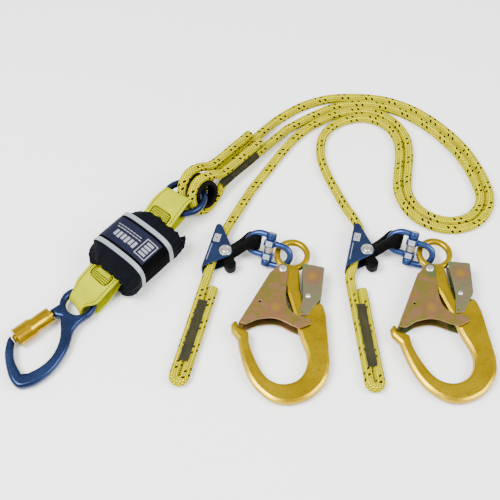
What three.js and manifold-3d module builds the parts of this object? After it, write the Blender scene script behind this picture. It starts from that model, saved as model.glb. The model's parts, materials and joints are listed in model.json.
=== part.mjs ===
// Twin-leg shock absorbing lanyard, lying on a floor.
// Millimetres, +Z up, origin on the floor under the middle of the lanyard.
// A karabiner and an energy absorber hang on one ring. Two rope legs are spliced to the same ring.
// Each leg carries an adjuster, a coupling link and a large scaffold hook, and ends in a sewn stop.

import * as THREE from 'three';
import { mergeVertices } from 'three/addons/utils/BufferGeometryUtils.js';
import Module from 'manifold-3d';

const wasm = await Module();
wasm.setup();

// ---------------------------------------------------------------- driving dimensions

const CLEARANCE = 0.3; // kept between pieces that touch

const ROPE_RADIUS = 6;
const ROPE_SIDES = 8;
const STRAND_SPACING = 12.6; // between two rope strands that lie side by side

const THIMBLE_HOLE_RADIUS = 13;
const THIMBLE_WALL = 2.6;
// Of the centre line of a rope in a thimble.
const EYE_RADIUS = THIMBLE_HOLE_RADIUS + THIMBLE_WALL + 2 * CLEARANCE + ROPE_RADIUS;
const SPLICE_TAIL_LENGTH = 118; // from the thimble's centre to the end of the tail
const SPLICE_LABEL_LENGTH = 62;
const SPLICE_LABEL_START = 52; // from the thimble's centre
const SLEEVE_WALL = 0.5;
const SLEEVE_INNER_RADIUS = ROPE_RADIUS + 1.3; // leaves room for a label under the sleeve
const SLEEVE_OUTER_RADIUS = SLEEVE_INNER_RADIUS + SLEEVE_WALL;

const STOP_LENGTH = 128; // from the end of the tail to the middle of the fold
const STOP_HEIGHT = SLEEVE_OUTER_RADIUS + 0.1; // of the stop's centre line above the floor
const STOP_LABEL_LENGTH = 84;
const STOP_LABEL_START = 22; // from the end of the tail

const RING_RADIUS = 25.5;
const RING_BAR_RADIUS = 4.5;

const WEBBING_WIDTH = 44;
const WEBBING_THICKNESS = 2.4;

const PACK_LENGTH = 104;
const PACK_WIDTH = 82;
const PACK_THICKNESS = 48;
const PACK_CORNER = 20;
const PACK_EDGE = 8; // chamfer round each end of the cover
const CAVITY_WIDTH = 50;
const CAVITY_THICKNESS = 36;
const CAVITY_CORNER = 4;
const TEAR_WEBBING_LENGTH = 70; // of the folded block
const CENTRE_BAND_WIDTH = 42;
const REFLECTIVE_BAND_WIDTH = 6.4;
const WRAP_THICKNESS = 0.8;
const LABEL_THICKNESS = 0.8;
const LABEL_LENGTH = 38;
const LABEL_WIDTH = 42;
const BAND_SHIFT = -2.5; // the three bands sit this far from the cover's middle, towards the karabiner

const KARABINER_THICKNESS = 11;
const KARABINER_EYE_RADIUS = 14.5;
const GATE_ROD_RADIUS = 4.8;
const GATE_SLEEVE_RADIUS = 10.2;
const GATE_SLEEVE_GRIP_RADIUS = 12.2; // the wider half that the fingers hold
const HINGE_SLOT_HALF = 2.9; // half the width of the slot for the gate's tongue
const HINGE_PIN_RADIUS = 1.5;

const ADJUSTER_WIDTH = 20; // over both side plates
const RIVET_HEAD = 1.2;
const ADJUSTER_HEIGHT = ADJUSTER_WIDTH / 2 + RIVET_HEAD + 0.4; // of the middle, above the floor
const PLATE_THICKNESS = 2;
const CAM_THICKNESS = 14;
const CAM_RIVET_RADIUS = 4;
const ROPE_CHANNEL = -13.7; // the rope's centre line in the adjuster, left of the cam's rivet

const LINK_BAR_RADIUS = 4;
const LINK_REACH = 28.5; // from the load pin to the far end of a half link
const LINK_PIN_RADIUS = 3.8;

const HOOK_THICKNESS = 12;
const HOOK_EYE_RADIUS = 16;
const HOOK_EYE_OUTER_RADIUS = 22.5;
const HOOK_EYE_THICKNESS = 8;

// ---------------------------------------------------------------- layout on the floor

const LAYOUT_SHIFT = [-0.27, 4.37]; // moves the layout so that the origin is under its middle

const LANYARD_ANGLE = THREE.MathUtils.degToRad(49); // direction from the karabiner to the ring
const PACK_CENTRE = [-143.9, -15.3, PACK_THICKNESS / 2 + 1.4];
const RING_CENTRE = [-81, 57.2, 27.5];
const RING_TILT = THREE.MathUtils.degToRad(0.6); // the side towards the absorber is the higher one

const KARABINER_EYE = [-209.4, -91.1, 13.2];
const KARABINER_TURN = THREE.MathUtils.degToRad(-23);
const KARABINER_NORMAL = [0.04, -0.076, 1];

// The two splices, each from its thimble to the point where the single rope leaves the sleeve.
const FRONT_SPLICE = { thimble: [-59.5, 70.6, 27], exit: [49, 197, 7.2], lean: 69 };
const BACK_SPLICE = { thimble: [-73.4, 82.6, 29.5], exit: [31, 209, 7.2], lean: 75 };

// Each hook unit: the cam rivet's place, and the directions of its adjuster, stop and hook.
const UNITS = [
  { rivet: [-31, -15.5], adjusterTurn: -15.6, stopTurn: -14.4, hookTurn: 0, stop: [-51.2, -62] },
  { rivet: [147, -14], adjusterTurn: -12.7, stopTurn: 5.9, hookTurn: 7, stop: [132.3, -66.8] },
];
const LINK_CENTRE = [54.6, 1.5, 21.6]; // from the cam rivet
const LINK_TURN = THREE.MathUtils.degToRad(-19);
const LINK_LEAN = THREE.MathUtils.degToRad(52); // the link leans up on one side and passes the hook's eye
const HOOK_EYE = [83.9, -6, 18.7]; // from the cam rivet
const HOOK_SLOPE = THREE.MathUtils.degToRad(3.65); // the eye rests on the link, the bend on the floor

// The middle of the two legs where they run side by side, out over the arch and back.
const PAIR_ROUTE = [
  [154, 252.6], [186, 248.5], [218, 235], [245, 214.5], [268, 189], [287, 161], [300, 131],
  [308, 101], [310, 79], [304, 60], [291, 44.5], [272, 36], [252, 35.5], [232, 43], [215, 58],
  [205, 78], [202.5, 98], [206, 126], [210, 156], [209, 180], [201, 201], [188, 216], [171, 225],
  [154, 227.4],
];
const FLOOR_ROPE_HEIGHT = ROPE_RADIUS + 0.3;

// Leg 1 leaves the front splice and ends at the first adjuster and stop.
const LEG_1_OUT = [[50.3, 198.3, 7.2], [71, 213.5, 6.4], [93, 227.6], [120, 241]];
const LEG_1_BACK = [
  [120, 227], [94, 212.5], [71.5, 194], [56, 176], [40, 152.5], [23.4, 126], [4, 95.5],
  [-13, 62, 8], [-24.5, 38, 10], [-32.5, 20, 11.4], [-38.6, 8, 11.6], [-44.2, -11.8, 11.6],
  [-48.8, -28.9, 11.4], [-51.9, -39.6, 9.2], [-54, -48, 8],
];
const LEG_2_OUT = [[32.2, 210.4, 7.2], [52, 228, 6.4], [77, 244.5], [112, 257]];
const LEG_2_BACK = [
  [130.5, 215.2], [111.3, 202.4], [99.5, 183], [96, 156], [99, 134], [106.5, 110], [115.5, 87],
  [124.5, 64, 7.5], [134.5, 42, 10.2], [140.4, 24.4, 11.6], [138.3, 9.5, 11.6], [134.3, -8, 11.6],
  [130.6, -24, 11.5], [127.6, -36.7, 10.2], [124.4, -47.6, 8.2], [124.8, -54.9, 8],
];

// ---------------------------------------------------------------- materials

function finish(color, roughness, metalness) {
  return new THREE.MeshStandardMaterial({ color, roughness, metalness });
}

const ropeYellow = () => finish(0xd8cc28, 0.8, 0);
const webbingYellow = () => finish(0xdce03c, 0.75, 0);
const clearSleeve = () => finish(0xd9d48a, 0.3, 0);
const labelGrey = () => finish(0x4a4a44, 0.6, 0);
const blueMetal = () => finish(0x24408c, 0.35, 0.7);
const linkBlue = () => finish(0x2c56a8, 0.35, 0.6);
const goldMetal = () => finish(0xc09a2c, 0.3, 0.8);
const hookGold = () => finish(0xbb9a38, 0.35, 0.7);
const zincPlate = () => finish(0xae9a72, 0.4, 0.7);
const greenZincPlate = () => finish(0x9cab80, 0.4, 0.7);
const steel = () => finish(0xb4b2aa, 0.35, 0.8);
const blackPlastic = () => finish(0x121214, 0.6, 0);
const navyFabric = () => finish(0x141a2c, 0.85, 0);
const reflectiveTape = () => finish(0xaab4b6, 0.4, 0.2);
const labelBlue = () => finish(0x1c2460, 0.6, 0);

// ---------------------------------------------------------------- geometry helpers

// A closed three.js geometry as a manifold solid.
function solid(geometry) {
  const bare = geometry.clone();
  bare.deleteAttribute('normal');
  bare.deleteAttribute('uv');
  const merged = mergeVertices(bare, 1e-4);
  const vertProperties = new Float32Array(merged.attributes.position.array);
  const triVerts = new Uint32Array(merged.index.array);
  return new wasm.Manifold(new wasm.Mesh({ numProp: 3, vertProperties, triVerts }));
}

// A manifold solid as a three.js geometry.
function geometryOf(body) {
  const mesh = body.getMesh();
  const geometry = new THREE.BufferGeometry();
  const positions = [];
  for (let i = 0; i < mesh.vertProperties.length; i += mesh.numProp) {
    positions.push(...mesh.vertProperties.slice(i, i + 3));
  }
  geometry.setAttribute('position', new THREE.Float32BufferAttribute(positions, 3));
  geometry.setIndex([...mesh.triVerts]);
  geometry.computeVertexNormals();
  return geometry;
}

function join(...geometries) {
  return geometryOf(geometries.map(solid).reduce((sum, next) => sum.add(next)));
}

function cut(geometry, ...tools) {
  return geometryOf(tools.map(solid).reduce((rest, tool) => rest.subtract(tool), solid(geometry)));
}

function piece(name, geometry, material) {
  const mesh = new THREE.Mesh(geometry, material);
  mesh.name = name;
  return mesh;
}

// A cylinder from one point to another, or a cone where the two radii differ.
function rod(from, to, radius, endRadius = radius, sides = 12) {
  const start = new THREE.Vector3(...from);
  const end = new THREE.Vector3(...to);
  const length = start.distanceTo(end);
  const geometry = new THREE.CylinderGeometry(endRadius, radius, length, sides);
  const direction = end.clone().sub(start).normalize();
  const turn = new THREE.Quaternion().setFromUnitVectors(new THREE.Vector3(0, 1, 0), direction);
  geometry.applyQuaternion(turn);
  geometry.translate(...start.add(end).multiplyScalar(0.5).toArray());
  return geometry;
}

// Points of an arc, in degrees.
function arc(x, y, radius, from, to, steps) {
  const points = [];
  for (let i = 0; i <= steps; i += 1) {
    const angle = THREE.MathUtils.degToRad(from + ((to - from) * i) / steps);
    points.push([x + radius * Math.cos(angle), y + radius * Math.sin(angle)]);
  }
  return points;
}

// Points of a smooth curve through the given ones, with a number of steps in each span.
function smooth(points, stepsInSpan = 1) {
  const curve = new THREE.SplineCurve(points.map(([x, y]) => new THREE.Vector2(x, y)));
  return curve.getPoints((points.length - 1) * stepsInSpan).map((point) => [point.x, point.y]);
}

function polygon(points, ...holes) {
  const vectors = (ring) => ring.map(([x, y]) => new THREE.Vector2(x, y));
  const shape = new THREE.Shape(vectors(points));
  shape.holes = holes.map((hole) => new THREE.Path(vectors(hole)));
  return shape;
}

function circle(radius, x = 0, y = 0, sides = 24) {
  return arc(x, y, radius, 0, 360 - 360 / sides, sides - 1);
}

// Two half circles joined by straight sides: a section round two strands, wide along Y.
function stadium(radius, spread) {
  return [...arc(0, spread / 2, radius, 0, 180, 6), ...arc(0, -spread / 2, radius, 180, 360, 6)];
}

// A flat plate of the given outline, from one height to another, with an optional rounded edge.
function plate(shape, bottom, top, bevel = 0) {
  const geometry = new THREE.ExtrudeGeometry(shape, {
    depth: top - bottom - 2 * bevel,
    bevelEnabled: bevel > 0,
    bevelThickness: bevel,
    bevelSize: bevel,
    bevelOffset: -bevel,
    bevelSegments: 1,
    curveSegments: 1,
  });
  geometry.translate(0, 0, bottom + bevel);
  return geometry;
}

// A round bar along a smooth curve through the points.
function bar(points, radius, steps, sides = ROPE_SIDES) {
  const curve = new THREE.CatmullRomCurve3(points.map((point) => new THREE.Vector3(...point)));
  return new THREE.ExtrudeGeometry(polygon(circle(radius, 0, 0, sides)), { steps, extrudePath: curve });
}

// A group placed at a point, with its x, y and z axes along the given directions.
function frameAt(position, xAxis, yAxis, zAxis) {
  const group = new THREE.Group();
  group.quaternion.setFromRotationMatrix(new THREE.Matrix4().makeBasis(xAxis, yAxis, zAxis));
  group.position.set(...position);
  return group;
}

// A group lying in a plane with the given normal, turned about that normal.
function lyingFrame(position, normal, turn) {
  const zAxis = new THREE.Vector3(...normal).normalize();
  const yAxis = new THREE.Vector3(-Math.sin(turn), Math.cos(turn), 0);
  yAxis.addScaledVector(zAxis, -yAxis.dot(zAxis)).normalize();
  return frameAt(position, new THREE.Vector3().crossVectors(yAxis, zAxis), yAxis, zAxis);
}

// ---------------------------------------------------------------- rope legs

// The points beside a route, at a distance to its left.
function beside(route, distance) {
  return route.map(([x, y], i) => {
    const before = route[Math.max(i - 1, 0)];
    const after = route[Math.min(i + 1, route.length - 1)];
    const along = new THREE.Vector2(after[0] - before[0], after[1] - before[1]).normalize();
    return [x - distance * along.y, y + distance * along.x];
  });
}

function ropeLeg(name, out, side, back) {
  const route = [...out, ...beside(PAIR_ROUTE, side * STRAND_SPACING / 2), ...back];
  const points = route.map(([x, y, z = FLOOR_ROPE_HEIGHT]) => [x, y, z]);
  return piece(name, bar(points, ROPE_RADIUS, 64), ropeYellow());
}

// A splice lies along +X of its own frame, with the thimble's centre at the origin
// and the tail on the +Y side of the standing part.
function spliceFrame({ thimble, exit, lean }) {
  const start = new THREE.Vector3(...thimble);
  const end = new THREE.Vector3(...exit);
  const along = end.clone().sub(start).setZ(0).normalize();
  const angle = THREE.MathUtils.degToRad(lean);
  const up = new THREE.Vector3(-along.y * Math.cos(angle), along.x * Math.cos(angle), Math.sin(angle));
  const xAxis = end.clone().addScaledVector(up, STRAND_SPACING / 2).sub(start);
  const length = xAxis.length();
  xAxis.normalize();
  const yAxis = up.addScaledVector(xAxis, -up.dot(xAxis)).normalize();
  const group = frameAt(thimble, xAxis, yAxis, new THREE.Vector3().crossVectors(xAxis, yAxis));
  return { group, length };
}

function spliceRope(length) {
  const half = STRAND_SPACING / 2;
  const points = [
    [length, -half, 0], [length * 0.6, -half, 0], [46, -half, 0], [34, -half - 2, 0], [22, -15, 0],
  ];
  for (let degrees = 290; degrees >= 70; degrees -= 22) {
    const angle = THREE.MathUtils.degToRad(degrees);
    points.push([EYE_RADIUS * Math.cos(angle), EYE_RADIUS * Math.sin(angle), 0]);
  }
  points.push([22, 15, 0], [34, half + 2, 0], [46, half, 0], [90, half, 0]);
  points.push([SPLICE_TAIL_LENGTH, half, 0]);
  return bar(points, ROPE_RADIUS, 36);
}

// A grooved ring that the rope's eye is seated on.
function thimbleRing() {
  const lipRadius = THIMBLE_HOLE_RADIUS + THIMBLE_WALL + 3;
  const half = ROPE_RADIUS + 1.4;
  const profile = [
    [THIMBLE_HOLE_RADIUS, 1 - half], [THIMBLE_HOLE_RADIUS + 1, -half], [lipRadius, -half],
    [THIMBLE_HOLE_RADIUS + THIMBLE_WALL, 1.1 - half], [THIMBLE_HOLE_RADIUS + THIMBLE_WALL, half - 1.1],
    [lipRadius, half], [THIMBLE_HOLE_RADIUS + 1, half], [THIMBLE_HOLE_RADIUS, half - 1],
    [THIMBLE_HOLE_RADIUS, 1 - half],
  ];
  const geometry = new THREE.LatheGeometry(profile.map(([r, y]) => new THREE.Vector2(r, y)), 20);
  return geometry.rotateX(Math.PI / 2);
}

// Lies along X: both strands at the tail, then the single rope to the exit.
function spliceSleeve(length) {
  const start = 50;
  const tailEnd = SPLICE_TAIL_LENGTH + 4;
  const single = STRAND_SPACING / 2;
  const doubled = (radius, from, to) => plate(polygon(stadium(radius, STRAND_SPACING)), from, to)
    .rotateY(Math.PI / 2);
  const alone = (radius, from, to) => rod([from, -single, 0], [to, -single, 0], radius);
  const outer = join(
    doubled(SLEEVE_OUTER_RADIUS, start, tailEnd),
    alone(SLEEVE_OUTER_RADIUS - 0.8, tailEnd - 1, length),
  );
  return cut(
    outer,
    doubled(SLEEVE_INNER_RADIUS, start - 1, tailEnd - 1),
    alone(SLEEVE_INNER_RADIUS - 0.8, tailEnd - 2, length + 1),
  );
}

// A thin curved label on a strand that lies along X, on its upper side.
function strandLabel(length, width) {
  const inner = ROPE_RADIUS + CLEARANCE;
  const outer = inner + 0.6;
  const angle = THREE.MathUtils.radToDeg(width / outer / 2);
  const section = [...arc(0, 0, outer, -angle, angle, 6), ...arc(0, 0, inner, angle, -angle, 6)];
  return plate(polygon(section), 0, length).rotateY(-Math.PI / 2).translate(length, 0, 0);
}

function splice(number, layout, hasLabel) {
  const { group, length } = spliceFrame(layout);
  group.add(piece(`rope_eye_${number}`, spliceRope(length), ropeYellow()));
  group.add(piece(`thimble_${number}`, thimbleRing(), blackPlastic()));
  group.add(piece(`splice_sleeve_${number}`, spliceSleeve(length), clearSleeve()));
  if (hasLabel) {
    const label = piece('splice_label', strandLabel(SPLICE_LABEL_LENGTH, 12), labelGrey());
    label.rotation.x = THREE.MathUtils.degToRad(25); // towards the outer side of the standing part
    label.position.set(SPLICE_LABEL_START, -STRAND_SPACING / 2, 0);
    group.add(label);
  }
  return group;
}

// A stop lies along -Y of its own frame: the standing part on the left, the folded tail on the right.
function ropeStop(number, unit) {
  const half = STRAND_SPACING / 2;
  const group = new THREE.Group();
  group.position.set(...unit.stop, STOP_HEIGHT);
  group.rotation.z = THREE.MathUtils.degToRad(unit.stopTurn);
  const points = [[-half, 11, 0], [-half, 0, 0], [-half, -60, 0], [-half, -STOP_LENGTH + 8, 0]];
  for (let degrees = 180; degrees <= 360; degrees += 30) {
    const angle = THREE.MathUtils.degToRad(degrees);
    points.push([half * Math.cos(angle), -STOP_LENGTH + half * Math.sin(angle), 0]);
  }
  points.push([half, -STOP_LENGTH + 8, 0], [half, -60, 0], [half, 0, 0]);
  group.add(piece(`stop_fold_${number}`, bar(points, ROPE_RADIUS, 30), ropeYellow()));

  const section = polygon(
    stadium(SLEEVE_OUTER_RADIUS, STRAND_SPACING),
    stadium(SLEEVE_INNER_RADIUS, STRAND_SPACING),
  );
  const sleeve = plate(section, 4, STOP_LENGTH - 4);
  sleeve.rotateZ(Math.PI / 2).rotateX(Math.PI / 2);
  group.add(piece(`stop_sleeve_${number}`, sleeve, clearSleeve()));

  const label = piece(`stop_label_${number}`, strandLabel(STOP_LABEL_LENGTH, 13), labelGrey());
  label.rotation.z = -Math.PI / 2;
  label.position.set(-half, -STOP_LABEL_START, 0);
  group.add(label);
  return group;
}

// ---------------------------------------------------------------- ring and energy absorber

const LANYARD_DIRECTION = new THREE.Vector3(Math.cos(LANYARD_ANGLE), Math.sin(LANYARD_ANGLE), 0);

function ring() {
  const normal = LANYARD_DIRECTION.clone().multiplyScalar(Math.sin(RING_TILT));
  normal.z = Math.cos(RING_TILT);
  const group = lyingFrame(RING_CENTRE, normal.toArray(), 0);
  group.add(piece('ring', new THREE.TorusGeometry(RING_RADIUS, RING_BAR_RADIUS, 8, 28), blueMetal()));
  return group;
}

// A rounded rectangle, wide along X.
function roundedBox(width, height, radius) {
  const x = width / 2 - radius;
  const y = height / 2 - radius;
  return [
    ...arc(x, y, radius, 0, 90, 5),
    ...arc(-x, y, radius, 90, 180, 5),
    ...arc(-x, -y, radius, 180, 270, 5),
    ...arc(x, -y, radius, 270, 360, 5),
  ];
}

// A closed band round the absorber: the cover's section, grown by the gaps and layers under it.
function packBand(width, inset, thickness) {
  const grown = (extra) => (
    roundedBox(PACK_WIDTH + 2 * extra, PACK_THICKNESS + 2 * extra, PACK_CORNER + extra)
  );
  return plate(polygon(grown(inset + thickness), grown(inset)), -width / 2, width / 2);
}

// A webbing loop in the plane X-Z: one ply runs from the absorber to a fold round a bar,
// and the other runs back. The path is the middle of the webbing's thickness.
function webbingLoop(path, width) {
  const half = WEBBING_THICKNESS / 2;
  const left = [];
  const right = [];
  path.forEach(([x, z], i) => {
    const before = path[Math.max(i - 1, 0)];
    const after = path[Math.min(i + 1, path.length - 1)];
    const along = new THREE.Vector2(after[0] - before[0], after[1] - before[1]).normalize();
    left.push([x - half * along.y, z + half * along.x]);
    right.push([x + half * along.y, z - half * along.x]);
  });
  return plate(polygon([...left, ...right.reverse()]), -width / 2, width / 2).rotateX(Math.PI / 2);
}

// Points of a half circle that joins the lower ply to the upper one, on the side of the given sign.
function foldArc(x, z, radius, side) {
  const points = [];
  for (let i = 0; i <= 6; i += 1) {
    const angle = (Math.PI * i) / 6;
    points.push([x + side * radius * Math.sin(angle), z + radius * Math.cos(angle)]);
  }
  return points;
}

// The absorber lies along +X of its own frame, from the karabiner's side to the ring's side.
function absorber() {
  const group = new THREE.Group();
  group.position.set(...PACK_CENTRE);
  group.rotation.z = LANYARD_ANGLE;

  const halfPack = PACK_LENGTH / 2;
  const outside = polygon(roundedBox(PACK_WIDTH, PACK_THICKNESS, PACK_CORNER));
  const cavity = polygon(roundedBox(CAVITY_WIDTH, CAVITY_THICKNESS, CAVITY_CORNER));
  const cover = cut(plate(outside, -halfPack, halfPack, PACK_EDGE), plate(cavity, -PACK_LENGTH, PACK_LENGTH));
  const crosswise = (geometry) => geometry.rotateX(Math.PI / 2).rotateZ(Math.PI / 2);
  group.add(piece('absorber_cover', crosswise(cover), navyFabric()));

  const block = new THREE.BoxGeometry(TEAR_WEBBING_LENGTH, WEBBING_WIDTH + 2, CAVITY_THICKNESS - 4);
  group.add(piece('tear_webbing', block, webbingYellow()));

  const wrapShape = packBand(CENTRE_BAND_WIDTH, CLEARANCE, WRAP_THICKNESS);
  const wrap = piece('centre_band', crosswise(wrapShape), blackPlastic());
  wrap.position.x = BAND_SHIFT;
  group.add(wrap);
  const bandOffset = (CENTRE_BAND_WIDTH + REFLECTIVE_BAND_WIDTH) / 2 + CLEARANCE;
  [['lower', -1], ['upper', 1]].forEach(([end, side]) => {
    const tape = packBand(REFLECTIVE_BAND_WIDTH, CLEARANCE, WRAP_THICKNESS);
    const band = piece(`reflective_band_${end}`, crosswise(tape), reflectiveTape());
    band.position.x = BAND_SHIFT + side * bandOffset;
    group.add(band);
  });
  const labelShape = new THREE.BoxGeometry(LABEL_LENGTH, LABEL_WIDTH, LABEL_THICKNESS);
  const label = piece('absorber_label', labelShape, labelBlue());
  label.position.x = BAND_SHIFT;
  label.position.z = PACK_THICKNESS / 2 + WRAP_THICKNESS + 2 * CLEARANCE + LABEL_THICKNESS / 2;
  group.add(label);

  // The loops start inside the cover, against the folded tear webbing.
  const blockEnd = TEAR_WEBBING_LENGTH / 2 + 2 * CLEARANCE;
  const upper = [
    [blockEnd, 3], [halfPack, 4.6], [61, 8.4], [68, 9.6], ...foldArc(80, 2.7, 7.1, 1),
    [68, -4.3], [60, -3.9], [halfPack, -3], [blockEnd, -3],
  ];
  group.add(piece('upper_webbing_loop', webbingLoop(upper, WEBBING_WIDTH - 8), webbingYellow()));

  const lower = [
    [-blockEnd, 3], [-halfPack, 3], [-70, -1.6], [-78, -3.7], ...foldArc(-91, -11.8, 8, -1),
    [-78, -19.6], [-68, -18], [-halfPack, -9], [-blockEnd, -3],
  ];
  group.add(piece('lower_webbing_loop', webbingLoop(lower, 24), webbingYellow()));
  return group;
}

// ---------------------------------------------------------------- karabiner

// Drawn with its captive eye at the origin and its basket below, along -Y.
const GATE_PIVOT = [-18.5, -17.5];
const GATE_START = [-23.6, -24.3]; // where the sleeve starts, on the gate's axis
const GATE_DIRECTION = new THREE.Vector2(-0.4376, -0.8992);
const SLEEVE_LENGTH = 50.5;

function gatePoint(distance, height = 0) {
  return [GATE_START[0] + distance * GATE_DIRECTION.x, GATE_START[1] + distance * GATE_DIRECTION.y, height];
}

function karabinerOutline() {
  const outer = [
    [-26.5, -20.5],
    ...arc(0, 0.6, 22.8, 206, -36, 16),
    ...smooth([[13.4, -24], [12.8, -35], [15.4, -46], [17.4, -57], [17.7, -71], [15.6, -87], [10.6, -102],
      [2, -115.5], [-11, -124.4], [-23.5, -120.5], [-35, -110], [-47, -94], [-53, -78.5], [-53.6, -71]]),
  ];
  const basket = [
    ...smooth([[-44.6, -75.4], [-38.5, -87.3], [-31, -97.3], [-16.5, -108]]),
    ...smooth([[-9.4, -103.5], [-1.2, -91.5], [4.2, -76.5], [4.6, -61.5], [1.8, -48.5], [-3.2, -37.5],
      [-10.5, -24.5]]),
    [-16.6, -26.4],
  ];
  return polygon([...outer, ...basket], circle(KARABINER_EYE_RADIUS));
}

function karabiner() {
  const group = lyingFrame(KARABINER_EYE, KARABINER_NORMAL, KARABINER_TURN);
  const half = KARABINER_THICKNESS / 2;
  const tongueSlot = plate(polygon(circle(13, ...GATE_PIVOT)), -HINGE_SLOT_HALF, HINGE_SLOT_HALF);
  const mouthOutline = polygon([[-33, -12], [-13.4, -12], [-11.4, -32], [-33, -32]]);
  const mouth = plate(mouthOutline, -HINGE_SLOT_HALF, HINGE_SLOT_HALF);
  const slotCut = geometryOf(solid(tongueSlot).intersect(solid(mouth)));
  const pinHole = rod([...GATE_PIVOT, -20], [...GATE_PIVOT, 20], HINGE_PIN_RADIUS + CLEARANCE);
  const body = cut(plate(karabinerOutline(), -half, half, 1.5), slotCut, pinHole);
  group.add(piece('karabiner_body', body, blueMetal()));
  const pin = rod([...GATE_PIVOT, -half], [...GATE_PIVOT, half], HINGE_PIN_RADIUS);
  group.add(piece('gate_hinge_pin', pin, steel()));

  const tongueHalf = HINGE_SLOT_HALF - CLEARANCE;
  const tonguePlan = [[-22.4, -15.4], [-14.6, -19.6], gatePoint(2).slice(0, 2), gatePoint(0).slice(0, 2)];
  const tongue = cut(
    join(
      plate(polygon(circle(4.4, ...GATE_PIVOT)), -tongueHalf, tongueHalf),
      plate(polygon(tonguePlan), -tongueHalf, tongueHalf),
      rod(gatePoint(-1), gatePoint(3), 2.5, 4),
      rod(gatePoint(0), gatePoint(SLEEVE_LENGTH + 3.6), GATE_ROD_RADIUS),
    ),
    pinHole,
  );
  group.add(piece('karabiner_gate', tongue, goldMetal()));

  const waist = 27;
  const narrow = GATE_SLEEVE_RADIUS;
  const wide = GATE_SLEEVE_GRIP_RADIUS;
  const sleeve = cut(
    join(
      rod(gatePoint(1), gatePoint(waist), narrow, narrow, 18),
      rod(gatePoint(waist - 3), gatePoint(waist + 2), narrow, wide, 18),
      rod(gatePoint(waist + 1.5), gatePoint(SLEEVE_LENGTH), wide, wide, 18),
    ),
    rod(gatePoint(-4), gatePoint(SLEEVE_LENGTH + 5), GATE_ROD_RADIUS + CLEARANCE),
    rod(gatePoint(12), gatePoint(SLEEVE_LENGTH - 6), 8.4),
  );
  group.add(piece('karabiner_sleeve', sleeve, goldMetal()));

  const spring = cut(
    rod(gatePoint(13), gatePoint(SLEEVE_LENGTH - 8), 7.6),
    rod(gatePoint(10), gatePoint(SLEEVE_LENGTH), GATE_ROD_RADIUS + 2 * CLEARANCE),
  );
  group.add(piece('sleeve_spring', spring, steel()));
  return group;
}

// ---------------------------------------------------------------- rope adjuster

// Drawn with the cam's rivet at the origin and the rope along Y, left of it.
function adjusterHousing(number, unit) {
  const group = new THREE.Group();
  group.position.z = ADJUSTER_HEIGHT;
  group.rotation.z = THREE.MathUtils.degToRad(unit.adjusterTurn);
  const outline = polygon([[-22.4, -31], ...arc(-18.2, 34, 4.2, 180, 27, 6), ...arc(0, 0, 9.6, 27, -58, 6)]);
  const half = ADJUSTER_WIDTH / 2;
  const inner = half - PLATE_THICKNESS;
  const wallFace = ROPE_CHANNEL - ROPE_RADIUS - 2 * CLEARANCE;
  const wall = plate(polygon([[-22.4, -26], [wallFace, -26], [wallFace, 20], [-22.4, 20]]), -half, half);
  const rivetHole = rod([0, 0, -20], [0, 0, 20], CAM_RIVET_RADIUS + CLEARANCE);
  const housing = cut(
    join(plate(outline, inner, half, 0.5), plate(outline, -half, -inner, 0.5), wall),
    rivetHole,
  );
  group.add(piece(`adjuster_housing_${number}`, housing, blueMetal()));

  const shank = rod([0, 0, -half - 1], [0, 0, half + 1], CAM_RIVET_RADIUS);
  const heads = [1, -1].map((side) => {
    const base = side * (half + CLEARANCE);
    return rod([0, 0, base], [0, 0, base + side * RIVET_HEAD], 8, 7.6, 16);
  });
  group.add(piece(`adjuster_rivet_${number}`, join(shank, ...heads), steel()));
  return group;
}

// The cam turns on the rivet. Its arm rises to a ring that holds the link's bar.
function cam(linkBar, barDirection) {
  const half = CAM_THICKNESS / 2;
  const lobes = smooth([[-6.4, -2], [-4.5, 5], [2, 8.2], [9, 7], [11.5, 0], [10, -8], [12.5, -15], [11, -21],
    [5, -23.5], [-0.5, -20], [-2.5, -12], [-5.6, -6.5]]);
  const height = ADJUSTER_HEIGHT;
  const plateBody = plate(polygon(lobes), height - half, height + half, 1);
  const ringRadius = 9;
  const ringFrame = lyingFrame(linkBar.toArray(), barDirection.toArray(), 0);
  ringFrame.updateMatrix();
  const eye = new THREE.TorusGeometry(ringRadius, 3, 6, 16).applyMatrix4(ringFrame.matrix);
  const toRivet = linkBar.clone().multiplyScalar(-1).setZ(height - linkBar.z);
  toRivet.addScaledVector(barDirection, -toRivet.dot(barDirection)).normalize();
  const neck = linkBar.clone().addScaledVector(toRivet, ringRadius);
  const arm = rod([9, 4, height + 1.5], neck.toArray(), 4.4, 3.4);
  const rivetHole = rod([0, 0, -5], [0, 0, 40], CAM_RIVET_RADIUS + CLEARANCE);
  return { geometry: cut(join(plateBody, arm, eye), rivetHole), neck };
}

// A rubber boot, cut short of the housing and of the ring, round the cam's arm.
function camBoot(neck) {
  const start = new THREE.Vector3(9, 4, ADJUSTER_HEIGHT + 1.5);
  const at = (share) => start.clone().lerp(neck, share).toArray();
  return cut(rod(at(0.36), at(0.8), 7.4, 8, 12), rod(at(-0.5), at(1.5), 5.1, 4.8, 12));
}

// ---------------------------------------------------------------- coupling link

// One half: a bent bar with a round lug at one end and a block at the other, both on the load pin.
// Drawn with the pin along Y and the bar on the -X side.
function halfLink() {
  const route = [[0, 17.5], [-8, 18.4], [-17, 17.6], [-25, 12.4], [-LINK_REACH, 4.5], [-26.4, -3.2],
    [-19.5, -7.8], [-10, -8.7], [0, -8.7]];
  const bent = bar(route.map(([x, y]) => [x, y, 0]), LINK_BAR_RADIUS, 14);
  const lug = rod([0, 13.3, 0], [0, 21.8, 0], 6.6);
  const block = rod([0, -12.9, 0], [0, -4.4, 0], 7.4, 7.4, 8);
  const pinHole = rod([0, -40, 0], [0, 40, 0], LINK_PIN_RADIUS + CLEARANCE);
  return cut(join(bent, lug, block), pinHole);
}

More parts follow.
